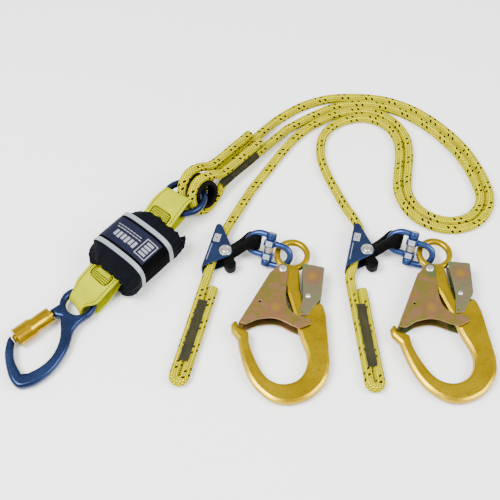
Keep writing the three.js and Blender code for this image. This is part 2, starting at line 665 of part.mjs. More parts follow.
function linkFrame() {
  const xAxis = new THREE.Vector3(Math.cos(LINK_TURN), Math.sin(LINK_TURN), 0);
  const yAxis = new THREE.Vector3(
    -Math.sin(LINK_TURN) * Math.cos(LINK_LEAN),
    Math.cos(LINK_TURN) * Math.cos(LINK_LEAN),
    Math.sin(LINK_LEAN),
  );
  return frameAt(LINK_CENTRE, xAxis, yAxis, new THREE.Vector3().crossVectors(xAxis, yAxis));
}

function link(number) {
  const group = linkFrame();
  group.add(piece(`link_cam_half_${number}`, halfLink(), linkBlue()));
  const hookHalf = piece(`link_hook_half_${number}`, halfLink(), linkBlue());
  hookHalf.rotation.z = Math.PI;
  group.add(hookHalf);
  group.add(piece(`link_pin_${number}`, rod([0, -23, 0], [0, 23, 0], LINK_PIN_RADIUS), steel()));
  const collarHole = rod([0, -9, 0], [0, 9, 0], LINK_PIN_RADIUS + CLEARANCE);
  const collar = cut(rod([0, -4, 0], [0, 4, 0], 5.8), collarHole);
  group.add(piece(`link_collar_${number}`, collar, steel()));
  return group;
}

// ---------------------------------------------------------------- scaffold hook

// Drawn with its eye at the origin and the bend below, along -Y. The gate closes the left side.
const GATE_RIVET = [-12.5, -24.5];
const LEVER_RIVET = [17.6, -61.9];
const LEVER_PLATES = { inner: 6.4, outer: 7.7 };
const GATE_PLATES = { inner: 8.1, outer: 9.6 };

function hookOutline() {
  return polygon([
    [8, -20],
    [8, -50],
    ...smooth([[12, -66], [22, -70], [31, -68.5], [36.5, -74], [39.4, -88]]),
    ...smooth([[41.5, -149], [38, -167], [29, -181.5], [14, -194], [-7, -200.3], [-26, -196], [-41, -184.5],
      [-51, -170], [-58.5, -152], [-63, -132], [-65.5, -118]]),
    [-73.5, -107],
    [-73, -97],
    [-69.5, -94.5],
    [-69.5, -103],
    [-56, -111],
    ...smooth([[-53.5, -122], [-49, -137.4], [-40.5, -157], [-30, -170], [-15, -175.3], [0, -171.8],
      [9.5, -162], [14, -147.3], [12.5, -134], [8, -120]]),
    [-7, -60],
    [-18, -30],
    [-16, -15],
  ]);
}

function hookBody() {
  const half = HOOK_THICKNESS / 2;
  const eyeHalf = HOOK_EYE_THICKNESS / 2;
  const disc = (radius) => polygon(circle(radius, 0, 0, 28));
  const eyeRoom = (from, to) => plate(disc(HOOK_EYE_OUTER_RADIUS - 1.5), from, to);
  const rivetHole = ([x, y], radius) => rod([x, y, -20], [x, y, 20], radius + CLEARANCE);
  const shank = cut(plate(hookOutline(), -half, half, 1.6), eyeRoom(eyeHalf, 20), eyeRoom(-20, -eyeHalf));
  return cut(
    join(shank, plate(disc(HOOK_EYE_OUTER_RADIUS), -eyeHalf, eyeHalf, 1.5)),
    plate(disc(HOOK_EYE_RADIUS), -20, 20),
    rivetHole(GATE_RIVET, 3),
    rivetHole(LEVER_RIVET, 2),
  );
}

// The gate: two plates, joined by a web along the outer edge.
function hookGate() {
  const outline = polygon([
    [-28, -27],
    [-67.3, -98.5],
    [-59, -101.3],
    ...smooth([[-44.3, -94.4], [-29, -92.6], [-16.7, -95.2], [-4.6, -102], [6, -106.8]]),
    [19.8, -101],
    [19.4, -93.8],
    ...smooth([[4, -89.5], [-5, -81.5], [-9.3, -69], [-8.2, -46], [-5.5, -26]]),
    ...arc(...GATE_RIVET, 7.4, 18, 144, 6),
  ]);
  const { inner, outer } = GATE_PLATES;
  const web = polygon([[-28, -27], [-67.3, -98.5], [-65, -99.3], [-26, -28.2]]);
  return cut(
    join(plate(outline, inner, outer), plate(outline, -outer, -inner), plate(web, -outer, outer)),
    rod([...GATE_RIVET, -20], [...GATE_RIVET, 20], 3.3, 3.3, 12),
    rod([-41, -70, -20], [-41, -70, 20], 1.5, 1.5, 8),
  );
}

// The lock lever: two plates joined by a web along the outer edge of their finger pad.
function lockLever() {
  const outline = polygon([[12, -15.5], [39.4, -21.5], [33.6, -63.6], [21, -81], [16, -88.5], [6, -88],
    [11.5, -62]]);
  const { inner, outer } = LEVER_PLATES;
  const web = polygon([[39.4, -21.5], [34.5, -57.5], [32.5, -57.5], [37.4, -21.2]]);
  const rivetHole = rod([...LEVER_RIVET, -20], [...LEVER_RIVET, 20], 2.3, 2.3, 12);
  return cut(
    join(plate(outline, inner, outer), plate(outline, -outer, -inner), plate(web, -outer, outer)),
    rivetHole,
    rod([10.4, -84, -20], [10.4, -84, 20], 1.4, 1.4, 8),
  );
}

function rivet([x, y], radius, outer) {
  const shank = rod([x, y, -outer - 0.8], [x, y, outer + 0.8], radius, radius, 12);
  const heads = [1, -1].map((side) => {
    const base = side * (outer + CLEARANCE);
    return rod([x, y, base], [x, y, base + side * 1.6], radius * 1.7, radius * 1.2, 14);
  });
  return join(shank, ...heads);
}

// A light torsion spring: one turn of wire round the gate's rivet, between the body and the plate.
function gateSpring() {
  const spring = new THREE.TorusGeometry(4.6, 0.6, 6, 16);
  return spring.translate(...GATE_RIVET, HOOK_THICKNESS / 2 + 1.05);
}

function scaffoldHook(number, unit) {
  const turn = THREE.MathUtils.degToRad(unit.hookTurn);
  const slope = Math.sin(HOOK_SLOPE);
  const normal = [slope * Math.sin(turn), -slope * Math.cos(turn), Math.cos(HOOK_SLOPE)];
  const group = lyingFrame(HOOK_EYE, normal, turn);
  group.add(piece(`hook_body_${number}`, hookBody(), hookGold()));
  group.add(piece(`hook_gate_${number}`, hookGate(), zincPlate()));
  group.add(piece(`gate_rivet_${number}`, rivet(GATE_RIVET, 3, GATE_PLATES.outer), steel()));
  group.add(piece(`gate_spring_${number}`, gateSpring(), steel()));
  group.add(piece(`lock_lever_${number}`, lockLever(), greenZincPlate()));
  group.add(piece(`lever_rivet_${number}`, rivet(LEVER_RIVET, 2, LEVER_PLATES.outer), steel()));
  return group;
}

// ---------------------------------------------------------------- assembly

function hookUnit(number, unit) {
  const group = new THREE.Group();
  group.position.set(...unit.rivet, 0);
  group.add(adjusterHousing(number, unit));

  const frame = linkFrame();
  frame.updateMatrix();
  const linkBar = new THREE.Vector3(-LINK_REACH, 4.5, 0).applyMatrix4(frame.matrix);
  const barDirection = new THREE.Vector3(0, 1, 0).applyQuaternion(frame.quaternion);
  const { geometry, neck } = cam(linkBar, barDirection);
  group.add(piece(`cam_${number}`, geometry, blackPlastic()));
  group.add(piece(`cam_boot_${number}`, camBoot(neck), blackPlastic()));

  group.add(link(number));
  group.add(scaffoldHook(number, unit));
  return group;
}

const lanyard = new THREE.Group();
lanyard.position.set(...LAYOUT_SHIFT, 0);
lanyard.add(karabiner(), absorber(), ring());
lanyard.add(splice(1, FRONT_SPLICE, true), splice(2, BACK_SPLICE, false));
lanyard.add(ropeLeg('rope_leg_1', LEG_1_OUT, -1, LEG_1_BACK));
lanyard.add(ropeLeg('rope_leg_2', LEG_2_OUT, 1, LEG_2_BACK));
UNITS.forEach((unit, i) => {
  lanyard.add(hookUnit(i + 1, unit), ropeStop(i + 1, unit));
});

export default lanyard;
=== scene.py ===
"""The visual model of a twin leg shock absorbing lanyard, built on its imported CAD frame.

Pieces are drawn in millimetres in a frame of their own and placed in the row frame in metres.
The free rope legs are drawn in metres, on the routes that their CAD solids follow, and so are
the cams' straps, which run from joint to joint.
"""

import json
import math
import random

import bmesh
import bpy
from mathutils import Matrix, Vector


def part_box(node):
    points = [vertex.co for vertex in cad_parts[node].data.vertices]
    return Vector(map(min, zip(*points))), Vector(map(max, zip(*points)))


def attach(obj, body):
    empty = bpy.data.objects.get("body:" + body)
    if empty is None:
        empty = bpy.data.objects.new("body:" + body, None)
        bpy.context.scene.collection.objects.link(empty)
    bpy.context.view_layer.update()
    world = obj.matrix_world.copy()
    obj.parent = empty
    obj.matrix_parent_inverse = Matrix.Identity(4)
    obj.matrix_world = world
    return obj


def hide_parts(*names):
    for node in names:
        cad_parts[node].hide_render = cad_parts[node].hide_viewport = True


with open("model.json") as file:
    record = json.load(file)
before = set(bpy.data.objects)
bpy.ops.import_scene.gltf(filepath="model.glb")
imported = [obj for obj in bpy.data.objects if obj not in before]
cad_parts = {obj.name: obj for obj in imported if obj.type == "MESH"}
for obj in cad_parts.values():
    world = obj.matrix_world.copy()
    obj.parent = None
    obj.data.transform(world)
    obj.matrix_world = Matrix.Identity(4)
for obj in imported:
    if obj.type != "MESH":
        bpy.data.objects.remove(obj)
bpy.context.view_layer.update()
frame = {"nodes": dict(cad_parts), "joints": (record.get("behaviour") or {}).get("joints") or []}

MM = 0.001
UP = Vector((0, 0, 1))
LAYOUT_SHIFT = Vector((-0.00027, 0.00437, 0))  # from the drawn layout to the row frame

# ---------------------------------------------------------------- frame of reference

JOINTS = {joint["name"]: joint for joint in frame["joints"]}


def joint_axis(name):
    return Vector(JOINTS[name]["axis"]).normalized()


def joint_place(name):
    return Vector(JOINTS[name]["pos_m"])


def middle(node):
    low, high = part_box(node)
    return (Vector(low) + Vector(high)) / 2


def placing(origin, x_axis, y_axis, z_axis):
    """The matrix from a piece's own millimetres to the row frame."""
    turn = Matrix((x_axis, y_axis, z_axis)).transposed().to_4x4()
    return Matrix.Translation(origin) @ turn @ Matrix.Scale(MM, 4)


# ---------------------------------------------------------------- curves


def smooth_path(points, step, uniform=False):
    """A Catmull-Rom curve through the points, centripetal or uniform, sampled about every step."""
    points = [Vector(point).to_3d() for point in points]
    ends = [2 * points[0] - points[1], *points, 2 * points[-1] - points[-2]]
    path = []
    for a, b, c, d in zip(ends, ends[1:], ends[2:], ends[3:]):
        if uniform:
            leaving = (c - a) / 2
            arriving = (d - b) / 2
        else:
            before, here, after = ((q - p).length ** 0.5 for p, q in ((a, b), (b, c), (c, d)))
            leaving = here * ((b - a) / before - (c - a) / (before + here) + (c - b) / here)
            arriving = here * ((c - b) / here - (d - b) / (here + after) + (d - c) / after)
        count = max(1, round((c - b).length / step))
        for i in range(count):
            t = i / count
            path.append(
                b * (2 * t**3 - 3 * t**2 + 1)
                + leaving * (t**3 - 2 * t**2 + t)
                + c * (3 * t**2 - 2 * t**3)
                + arriving * (t**3 - t**2)
            )
    path.append(points[-1])
    return path


def arc(x, y, radius, start, end, steps):
    """Points of an arc, in degrees."""
    angles = [math.radians(start + (end - start) * i / steps) for i in range(steps + 1)]
    return [(x + radius * math.cos(angle), y + radius * math.sin(angle)) for angle in angles]


def smooth(points, step=1.5):
    return [(p.x, p.y) for p in smooth_path(points, step, uniform=True)]


def circle(radius, x=0.0, y=0.0, sides=64):
    return arc(x, y, radius, 0, 360, sides)[:-1]


def spaced(start, end, count):
    """Evenly spaced numbers from start to end."""
    return [start + (end - start) * i / (count - 1) for i in range(count)]


def distances(path):
    """The distance along the path to each of its points."""
    total = [0.0]
    for a, b in zip(path, path[1:]):
        total.append(total[-1] + (b - a).length)
    return total


def directions(path):
    """The direction of the path at each of its points."""
    last = len(path) - 1
    return [(path[min(i + 1, last)] - path[max(i - 1, 0)]).normalized() for i in range(len(path))]


CORNER_STEPS = 4


def rounded(points, radius):
    """A polygon with its corners rounded."""
    out = []
    count = len(points)
    for i in range(count):
        corner = Vector(points[i])
        back = Vector(points[i - 1]) - corner
        ahead = Vector(points[(i + 1) % count]) - corner
        reach = min(radius, back.length * 0.45, ahead.length * 0.45)
        start = corner + back.normalized() * reach
        end = corner + ahead.normalized() * reach
        for k in range(CORNER_STEPS + 1):
            t = k / CORNER_STEPS
            bend = start * (1 - t) ** 2 + corner * 2 * t * (1 - t) + end * t**2
            out.append((bend.x, bend.y))
    return out


# ---------------------------------------------------------------- meshes


def finished(name, mesh, material, placed=None, angle=40):
    """A new object of the mesh, placed in the row frame, with smooth shading up to an angle."""
    if placed is not None:
        mesh.transform(placed)
        if placed.determinant() < 0:
            mesh.flip_normals()
    obj = bpy.data.objects.new(name, mesh)
    bpy.context.scene.collection.objects.link(obj)
    mesh.materials.clear()
    mesh.materials.append(material)
    mesh.shade_smooth()
    mesh.set_sharp_from_angle(angle=math.radians(angle))
    return obj


def loft(
    name, rings, material, placed=None, u=None, v=None, closed=True, caps=True, loop=False, angle=40
):
    """A surface through rings of points. Its map holds u along the rings and v round each ring.

    closed joins the ends of each ring, caps fills the first and last, and loop joins those two."""
    size = len(rings[0])
    u = u or distances([Vector(ring[0]) for ring in rings])
    v = v or [j / size for j in range(size + 1)]
    made = bmesh.new()
    layer = made.loops.layers.uv.new("UVMap")
    grid = [[made.verts.new(point) for point in ring] for ring in rings]
    rows = len(rings) if loop else len(rings) - 1
    for i in range(rows):
        here = grid[i]
        after = grid[(i + 1) % len(rings)]
        for j in range(size if closed else size - 1):
            k = (j + 1) % size
            face = made.faces.new((here[j], here[k], after[k], after[j]))
            ahead = u[i + 1] if i + 1 < len(u) else u[i] + 1
            corners = ((u[i], v[j]), (u[i], v[j + 1]), (ahead, v[j + 1]), (ahead, v[j]))
            for corner, place in zip(face.loops, corners):
                corner[layer].uv = place
    if caps and closed and not loop:
        for row, place in ((grid[0][::-1], u[0]), (grid[-1], u[-1])):
            face = made.faces.new(row)
            for corner in face.loops:
                corner[layer].uv = (place, 0)
    bmesh.ops.recalc_face_normals(made, faces=made.faces)
    mesh = bpy.data.meshes.new(name)
    made.to_mesh(mesh)
    made.free()
    return finished(name, mesh, material, placed, angle)


def tube_rings(path, radius, sides):
    """Circles round the path, each turned as little as possible from the one before."""
    tangents = directions(path)
    side = tangents[0].orthogonal().normalized()
    angles = [2 * math.pi * j / sides for j in range(sides)]
    rings = []
    for point, along in zip(path, tangents):
        side = (side - along * side.dot(along)).normalized()
        up = along.cross(side)
        rings.append([point + radius * (side * math.cos(a) + up * math.sin(a)) for a in angles])
    return rings


def tube(name, path, radius, material, placed=None, sides=20, scale=1.0):
    """A round bar or rope. The map's u is the distance in millimetres, its v the turn."""
    u = [scale * distance for distance in distances(path)]
    return loft(name, tube_rings(path, radius, sides), material, placed, u=u)


def lathe(name, profile, material, placed=None, sides=48, loop=False, angle=40):
    """A profile of (radius, height) turned about the z axis."""
    rings = []
    for radius, height in profile:
        rings.append([Vector((x, y, height)) for x, y in circle(max(radius, 0.01), sides=sides)])
    return loft(name, rings, material, placed, loop=loop, angle=angle)


def plate(name, outline, bottom, top, material, placed=None, holes=(), edge=0.5, turns=3, angle=35):
    """A flat plate with rounded edges, from its outline and holes."""
    curve = bpy.data.curves.new(name, "CURVE")
    curve.dimensions = "2D"
    curve.fill_mode = "BOTH"
    curve.bevel_depth = edge
    curve.bevel_resolution = turns
    curve.offset = -edge
    curve.extrude = (top - bottom) / 2 - edge
    for ring in (outline, *holes):
        spline = curve.splines.new("POLY")
        spline.points.add(len(ring) - 1)
        for point, (x, y) in zip(spline.points, ring):
            point.co = (x, y, 0, 1)
        spline.use_cyclic_u = True
    holder = bpy.data.objects.new(name, curve)
    mesh = bpy.data.meshes.new_from_object(holder)
    bpy.data.objects.remove(holder)
    bpy.data.curves.remove(curve)
    mesh.transform(Matrix.Translation((0, 0, (top + bottom) / 2)))
    mesh.name = name
    return finished(name, mesh, material, placed, angle)


def joined(name, *objects):
    """Several objects made into one."""
    bpy.ops.object.select_all(action="DESELECT")
    for obj in objects:
        obj.select_set(True)
    bpy.context.view_layer.objects.active = objects[0]
    bpy.ops.object.join()
    objects[0].name = name
    objects[0].data.name = name
    bpy.ops.object.select_all(action="DESELECT")
    return objects[0]


def leaves(outline, inner, outer, material, placed, **style):
    """Two like plates, above and below the piece's own middle plane."""
    return [
        plate(f"leaf_{low}", outline, low, high, material, placed, **style)
        for low, high in ((inner, outer), (-outer, -inner))
    ]


def fitted(obj, body, slot, *nodes):
    """Sets the piece on its body, in place of any CAD nodes it details. Its slot is not used."""
    if nodes:
        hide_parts(*nodes)
    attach(obj, body)
    return obj


def repaint(node, material):
    """A CAD node that stays, in a better material."""
    frame["nodes"][node].data.materials.clear()
    frame["nodes"][node].data.materials.append(material)


# ---------------------------------------------------------------- materials


class Look:
    """A material's nodes: one principled shader, with short calls for what feeds it."""

    def __init__(self, name, color, roughness, metallic=0.0, **constants):
        self.material = bpy.data.materials.new(name)
        self.material.use_nodes = True
        self.nodes = self.material.node_tree.nodes
        self.shader = self.nodes["Principled BSDF"]
        self.set("Base Color", (*color, 1))
        self.set("Roughness", roughness)
        self.set("Metallic", metallic)
        for key, value in constants.items():
            self.set(key.replace("_", " ").title().replace("Ior", "IOR"), value)

    def set(self, socket, value):
        self.feed(self.shader.inputs[socket], value)

    def feed(self, socket, value):
        if isinstance(value, bpy.types.NodeSocket):
            self.material.node_tree.links.new(value, socket)
        else:
            socket.default_value = value

    def coords(self, kind="Object"):
        return self.nodes.new("ShaderNodeTexCoord").outputs[kind]

    def stretched(self, vector, scale):
        node = self.nodes.new("ShaderNodeMapping")
        self.feed(node.inputs["Vector"], vector)
        node.inputs["Scale"].default_value = scale
        return node.outputs["Vector"]

    def noise(self, vector, scale, detail=3.0, roughness=0.5):
        node = self.nodes.new("ShaderNodeTexNoise")
        self.feed(node.inputs["Vector"], vector)
        node.inputs["Scale"].default_value = scale
        node.inputs["Detail"].default_value = detail
        node.inputs["Roughness"].default_value = roughness
        return node.outputs["Fac"]

    def calc(self, operation, a, b=0.0):
        node = self.nodes.new("ShaderNodeMath")
        node.operation = operation
        for socket, value in zip(node.inputs, (a, b)):
            self.feed(socket, value)
        return node.outputs["Value"]

    def times(self, a, b):
        return self.calc("MULTIPLY", a, b)

    def plus(self, a, b):
        return self.calc("ADD", a, b)

    def minus(self, a, b):
        return self.calc("SUBTRACT", a, b)

    def wave(self, value, length):
        """A sine of the given wavelength."""
        return self.calc("SINE", self.times(value, 2 * math.pi / length))

    def ramp(self, value, *stops):
        """Colours or greys at the given places, blended in between."""
        node = self.nodes.new("ShaderNodeValToRGB")
        self.feed(node.inputs["Fac"], value)
        elements = node.color_ramp.elements
        while len(elements) < len(stops):
            elements.new(0.5)
        for element, (place, color) in zip(elements, stops):
            element.position = place
            element.color = (*color, 1) if isinstance(color, tuple) else (color, color, color, 1)
        return node.outputs["Color"]

    def mix(self, share, a, b):
        node = self.nodes.new("ShaderNodeMix")
        node.data_type = "RGBA"
        self.feed(node.inputs["Factor"], share)
        for socket, value in ((node.inputs[6], a), (node.inputs[7], b)):
            self.feed(socket, (*value, 1) if isinstance(value, tuple) else value)
        return node.outputs[2]

    def split(self, vector):
        node = self.nodes.new("ShaderNodeSeparateXYZ")
        self.feed(node.inputs["Vector"], vector)
        return node.outputs["X"], node.outputs["Y"], node.outputs["Z"]

    def distance(self, vector, point):
        node = self.nodes.new("ShaderNodeVectorMath")
        node.operation = "DISTANCE"
        self.feed(node.inputs[0], vector)
        node.inputs[1].default_value = point
        return node.outputs["Value"]

    def repeated(self, value, share):
        """1 over the first share of every whole step of the value."""
        return self.calc("LESS_THAN", self.calc("FRACT", value), share)

    def inside(self, value, low, high):
        """1 where the value is between the two limits."""
        return self.times(self.calc("GREATER_THAN", value, low), self.calc("LESS_THAN", value, high))

    def bump(self, height, distance, strength=1.0):
        node = self.nodes.new("ShaderNodeBump")
        node.inputs["Distance"].default_value = distance
        node.inputs["Strength"].default_value = strength
        self.feed(node.inputs["Height"], height)
        old = self.shader.inputs["Normal"].links
        if old:
            self.feed(node.inputs["Normal"], old[0].from_socket)
        self.feed(self.shader.inputs["Normal"], node.outputs["Normal"])


ROPE_STRANDS = 12  # in each direction
ROPE_PITCH = 34.0  # millimetres for one turn of a strand
TWILL = 4.0  # crossings in one repeat: a strand passes over two and under two
TRACERS = (0, ROPE_STRANDS // 4)  # the black strands among those that turn one way


def braided_rope():
    """A twill braid. The map gives millimetres along and turns round the rope."""
    look = Look("braided_rope", (0.6, 0.58, 0.0), 0.7, specular_ior_level=0.0)
    along, round_, _ = look.split(look.coords("UV"))
    advance = look.times(along, ROPE_STRANDS / ROPE_PITCH)
    turn = look.times(round_, ROPE_STRANDS)
    first = look.plus(advance, turn)
    second = look.minus(advance, turn)
    first_strand = look.calc("FLOOR", first)
    second_strand = look.calc("FLOOR", second)

    def length_share(near, far, shift):
        """How far along a strand's run a place is: below 1 on top, and from 1 to 2 underneath."""
        gap = look.plus(look.minus(near, far), shift)
        return look.calc("DIVIDE", look.calc("FLOORED_MODULO", gap, TWILL), TWILL / 2)

    def hump(share):
        return look.calc("SINE", look.times(look.calc("FRACT", share), math.pi))

    def swell(across, share):
        return look.times(look.calc("POWER", hump(across), 0.6), look.calc("POWER", hump(share), 0.5))

    def black(strand, chosen):
        number = look.calc("FLOORED_MODULO", strand, float(ROPE_STRANDS))
        return look.inside(number, chosen - 0.5, chosen + 0.5)

    first_share = length_share(first_strand, second, 1.0)
    second_share = length_share(first, second_strand, 2.0)
    on_top = look.calc("LESS_THAN", first_share, 1.0)
    under = look.minus(1.0, on_top)
    height = look.plus(
        look.times(swell(first, first_share), on_top), look.times(swell(second, second_share), under)
    )
    tracers = look.calc("MAXIMUM", *(black(second_strand, chosen) for chosen in TRACERS))
    fleck = look.times(tracers, under)
    spots = look.noise(look.coords(), 90, 4)
    lemon = look.ramp(spots, (0.3, (0.62, 0.61, 0.0)), (0.7, (0.84, 0.84, 0.0)))
    amber = look.ramp(spots, (0.3, (0.54, 0.45, 0.0)), (0.7, (0.74, 0.65, 0.0)))
    yellow = look.mix(on_top, amber, lemon)
    # Painted shade: where the braid's height is low, in the gaps between strands, the yellow goes to dark
    # brown.
    shaded = look.mix(look.ramp(height, (0.35, 0.0), (0.9, 1.0)), (0.15, 0.11, 0.0), yellow)
    look.set("Base Color", look.mix(fleck, shaded, (0.002, 0.002, 0.003)))
    look.bump(height, 0.0011, 0.85)
    look.bump(look.noise(look.coords(), 2200, 2), 0.0002, 0.35)
    return look.material


WEAVE_STEP = 1.6  # millimetres from row to row
WEAVE_COLUMNS = 16  # from the middle of the webbing to its edge
TACK_HALF_WIDTH = 0.7  # as a share of the webbing's half width
NEVER = (1, 0)  # a stretch with nothing in it


def bar_tack(look, along, across, low, high):
    """1 on the threads of a bar tack with a clear window in it."""
    depth = (high - low) / 2
    from_middle = look.calc("DIVIDE", look.minus(along, low + depth), depth)
    sideways = look.calc("DIVIDE", across, TACK_HALF_WIDTH)
    powers = (look.calc("POWER", look.calc("ABSOLUTE", value), 4.0) for value in (from_middle, sideways))
    reach = look.plus(*powers)
    lines = look.repeated(look.calc("DIVIDE", along, 2.6), 0.36)
    bars = look.repeated(look.times(across, 11.0), 0.24)
    near_middle = look.calc("LESS_THAN", look.calc("ABSOLUTE", across), 0.45)
    window = look.times(look.inside(from_middle, -0.75, -0.2), near_middle)
    grid = look.times(look.calc("MAXIMUM", lines, bars), look.minus(1.0, window))
    rim = look.inside(reach, 0.66, 1.0)
    return look.calc("MAXIMUM", look.times(grid, look.calc("LESS_THAN", reach, 1.0)), rim)


def sewn_webbing(name, seam=NEVER, tack=NEVER):
    """Woven webbing. The map gives millimetres along, and across from -1 to 1.

    A dotted seam runs inside each edge over one stretch, and a bar tack covers another."""
    look = Look(name, (0.6, 0.68, 0.0), 0.7, specular_ior_level=0.0)
    along, across, _ = look.split(look.coords("UV"))
    rows = look.wave(along, WEAVE_STEP)
    columns = look.wave(across, 1 / WEAVE_COLUMNS)
    worn = look.noise(look.coords(), 60, 4)
    color = look.ramp(worn, (0.3, (0.34, 0.36, 0.0)), (0.7, (0.43, 0.455, 0.0)))
    color = look.mix(look.ramp(rows, (0.0, 0.35), (0.6, 0.0)), color, (0.30, 0.31, 0.0))
    edge = look.inside(look.calc("ABSOLUTE", across), 0.81, 0.87)
    dashes = look.repeated(look.calc("DIVIDE", along, 3.1), 0.62)
    stitch = look.times(look.times(edge, dashes), look.inside(along, *seam))
    if tack != NEVER:
        stitch = look.calc("MAXIMUM", stitch, bar_tack(look, along, across, *tack))
    look.set("Base Color", look.mix(stitch, color, (0.012, 0.011, 0.004)))
    look.bump(look.times(rows, columns), 0.0004, 0.45)
    look.bump(stitch, 0.0005, 0.6)
    return look.material


def anodised(name, dark, light, roughness, metallic, stain=None):
    """Coloured metal with a cloudy tone and a faint grain, and stains where asked for."""
    look = Look(name, light, roughness, metallic)
    place = look.coords()
    cloud = look.noise(place, 35, 5)
    color = look.ramp(cloud, (0.35, dark), (0.65, light))
    if stain:
        spots = look.ramp(look.noise(place, 120, 6, 0.65), (0.56, 0.0), (0.72, 1.0))
        color = look.mix(spots, color, stain)
    look.set("Base Color", color)
    grain = look.noise(look.stretched(place, (1, 1, 6)), 900, 3)
    look.set("Roughness", look.ramp(grain, (0.3, roughness - 0.06), (0.7, roughness + 0.1)))
    look.bump(grain, 0.0002, 0.25)
    return look.material


PAINTED_HIGHLIGHT_SIZE = 0.016  # metres from the middle of the painted highlight to its edge


def passivated(name, tints, painted_highlight_place):
    """Zinc plate with drifting rainbow tints, and a painted warm highlight round one place."""
    look = Look(name, tints[0], 0.34, 0.85)
    place = look.coords()
    drift = look.noise(place, 24, 3, 0.6)
    color = look.ramp(drift, *zip(spaced(0.38, 0.62, len(tints)), tints))
    gap = look.times(look.distance(place, painted_highlight_place), 1 / PAINTED_HIGHLIGHT_SIZE)
    # Painted highlight: a reddish rim and a bright gold middle round the given place.
    color = look.mix(look.ramp(gap, (0.35, 0.9), (0.95, 0.0)), color, (0.25, 0.11, 0.06))
    color = look.mix(look.ramp(gap, (0.05, 0.9), (0.5, 0.0)), color, (0.32, 0.21, 0.015))
    scuffs = look.noise(look.stretched(place, (1, 3, 1)), 70, 5, 0.65)
    worn = look.ramp(scuffs, (0.52, 0.0), (0.78, 0.7))
    look.set("Base Color", look.mix(worn, color, (0.11, 0.095, 0.03)))
    look.set("Roughness", look.ramp(scuffs, (0.3, 0.28), (0.7, 0.42)))
    look.bump(look.noise(place, 500, 3), 0.0002, 0.2)
    return look.material


def plastic(name, color, roughness, pore=700):
    """Dull moulding with small pores."""
    look = Look(name, color, roughness, specular_ior_level=0.05)
    place = look.coords()
    lighter = tuple(channel * 1.7 + 0.001 for channel in color)
    look.set("Base Color", look.ramp(look.noise(place, 80, 4), (0.35, color), (0.75, lighter)))
    look.bump(look.noise(place, pore, 3), 0.0002, 0.4)
    return look.material


CLOTH_STEP = 0.0011  # metres from thread to thread
TAPE_STEP = 0.0012


def cover_cloth():
    """Fine navy pack cloth, with small creases."""
    look = Look("cover_cloth", (0.002, 0.0025, 0.005), 0.75, specular_ior_level=0.07)
    place = look.coords()
    tone = look.noise(place, 45, 4)
    look.set(
        "Base Color", look.ramp(tone, (0.3, (0.0006, 0.0008, 0.002)), (0.7, (0.0014, 0.002, 0.0045)))
    )
    x, y, z = look.split(place)
    warp = look.wave(look.plus(x, y), CLOTH_STEP)
    weft = look.wave(look.minus(look.plus(z, x), y), CLOTH_STEP)
    look.bump(look.times(warp, weft), 0.0002, 0.3)
    look.bump(look.noise(place, 55, 5, 0.6), 0.003, 0.55)
    return look.material


def clear_film():
    """Clear heat-shrink sleeve over rope, slightly yellow and wrinkled."""
    look = Look("clear_film", (0.20, 0.17, 0.03), 0.45, alpha=0.06, specular_ior_level=0.12)
    place = look.coords()
    look.bump(look.noise(place, 120, 3, 0.5), 0.0005, 0.3)
    patch = look.noise(place, 45, 3)
    look.set("Alpha", look.ramp(patch, (0.4, 0.02), (0.75, 0.09)))
    return look.material


def reflective():
    """Retroreflective tape: grey with a fine diagonal grid."""
    look = Look("reflective_tape", (0.28, 0.31, 0.33), 0.4, 0.25)
    x, y, z = look.split(look.coords())
    cell = look.times(look.wave(look.plus(x, z), TAPE_STEP), look.wave(look.minus(x, y), TAPE_STEP))
    look.set("Base Color", look.ramp(cell, (0.2, (0.22, 0.25, 0.265)), (0.8, (0.34, 0.38, 0.40))))
    look.bump(cell, 0.0002, 0.3)
    return look.material


def printed_label(name, ground, ink, marks):
    """A woven label. marks are boxes (u from, u to, v from, v to) in millimetres, in ink."""
    look = Look(name, ground, 0.6, specular_ior_level=0.15)
    along, across, _ = look.split(look.coords("UV"))
    printed = 0.0
    for low_u, high_u, low_v, high_v in marks:
        box = look.times(look.inside(along, low_u, high_u), look.inside(across, low_v, high_v))
        printed = look.calc("MAXIMUM", printed, box)
    threads = look.noise(look.stretched(look.coords("UV"), (1, 6, 1)), 1.2, 2)
    darker = tuple(channel * 0.7 for channel in ground)
    cloth = look.ramp(threads, (0.35, darker), (0.65, ground))
    look.set("Base Color", look.mix(printed, cloth, ink))
    look.bump(threads, 0.0002, 0.3)
    return look.material


def studio_floor():
    look = Look("studio_floor", (0.93, 0.93, 0.93), 0.9)
    look.set("Base Color", look.ramp(look.noise(look.coords(), 3, 2), (0.2, 0.95), (0.8, 0.97)))
    return look.material


ROPE = braided_rope()
BLUE = anodised("blue_anodised", (0.008, 0.016, 0.05), (0.015, 0.029, 0.09), 0.24, 0.85)
ADJUSTER_BLUE = anodised("adjuster_blue", (0.011, 0.021, 0.062), (0.018, 0.033, 0.095), 0.36, 0.8)
LINK_BLUE = anodised("link_blue", (0.014, 0.032, 0.11), (0.028, 0.06, 0.19), 0.3, 0.8)
GOLD = anodised("gold_anodised", (0.34, 0.20, 0.0), (0.48, 0.31, 0.0), 0.22, 0.95)
HOOK_GOLD = anodised(
    "hook_gold", (0.33, 0.21, 0.0), (0.43, 0.29, 0.0), 0.27, 0.95, stain=(0.26, 0.17, 0.005)
)
GATE_TINTS = [
    (0.10, 0.13, 0.05), (0.23, 0.15, 0.02), (0.26, 0.13, 0.07), (0.17, 0.15, 0.02), (0.25, 0.13, 0.05),
]
LEVER_TINTS = [(0.13, 0.17, 0.06), (0.16, 0.17, 0.08), (0.20, 0.15, 0.09), (0.13, 0.18, 0.06)]
STEEL = anodised("bright_steel", (0.42, 0.41, 0.38), (0.62, 0.60, 0.55), 0.28, 0.95)
BLACK = plastic("black_moulding", (0.0006, 0.0006, 0.0006), 0.5)
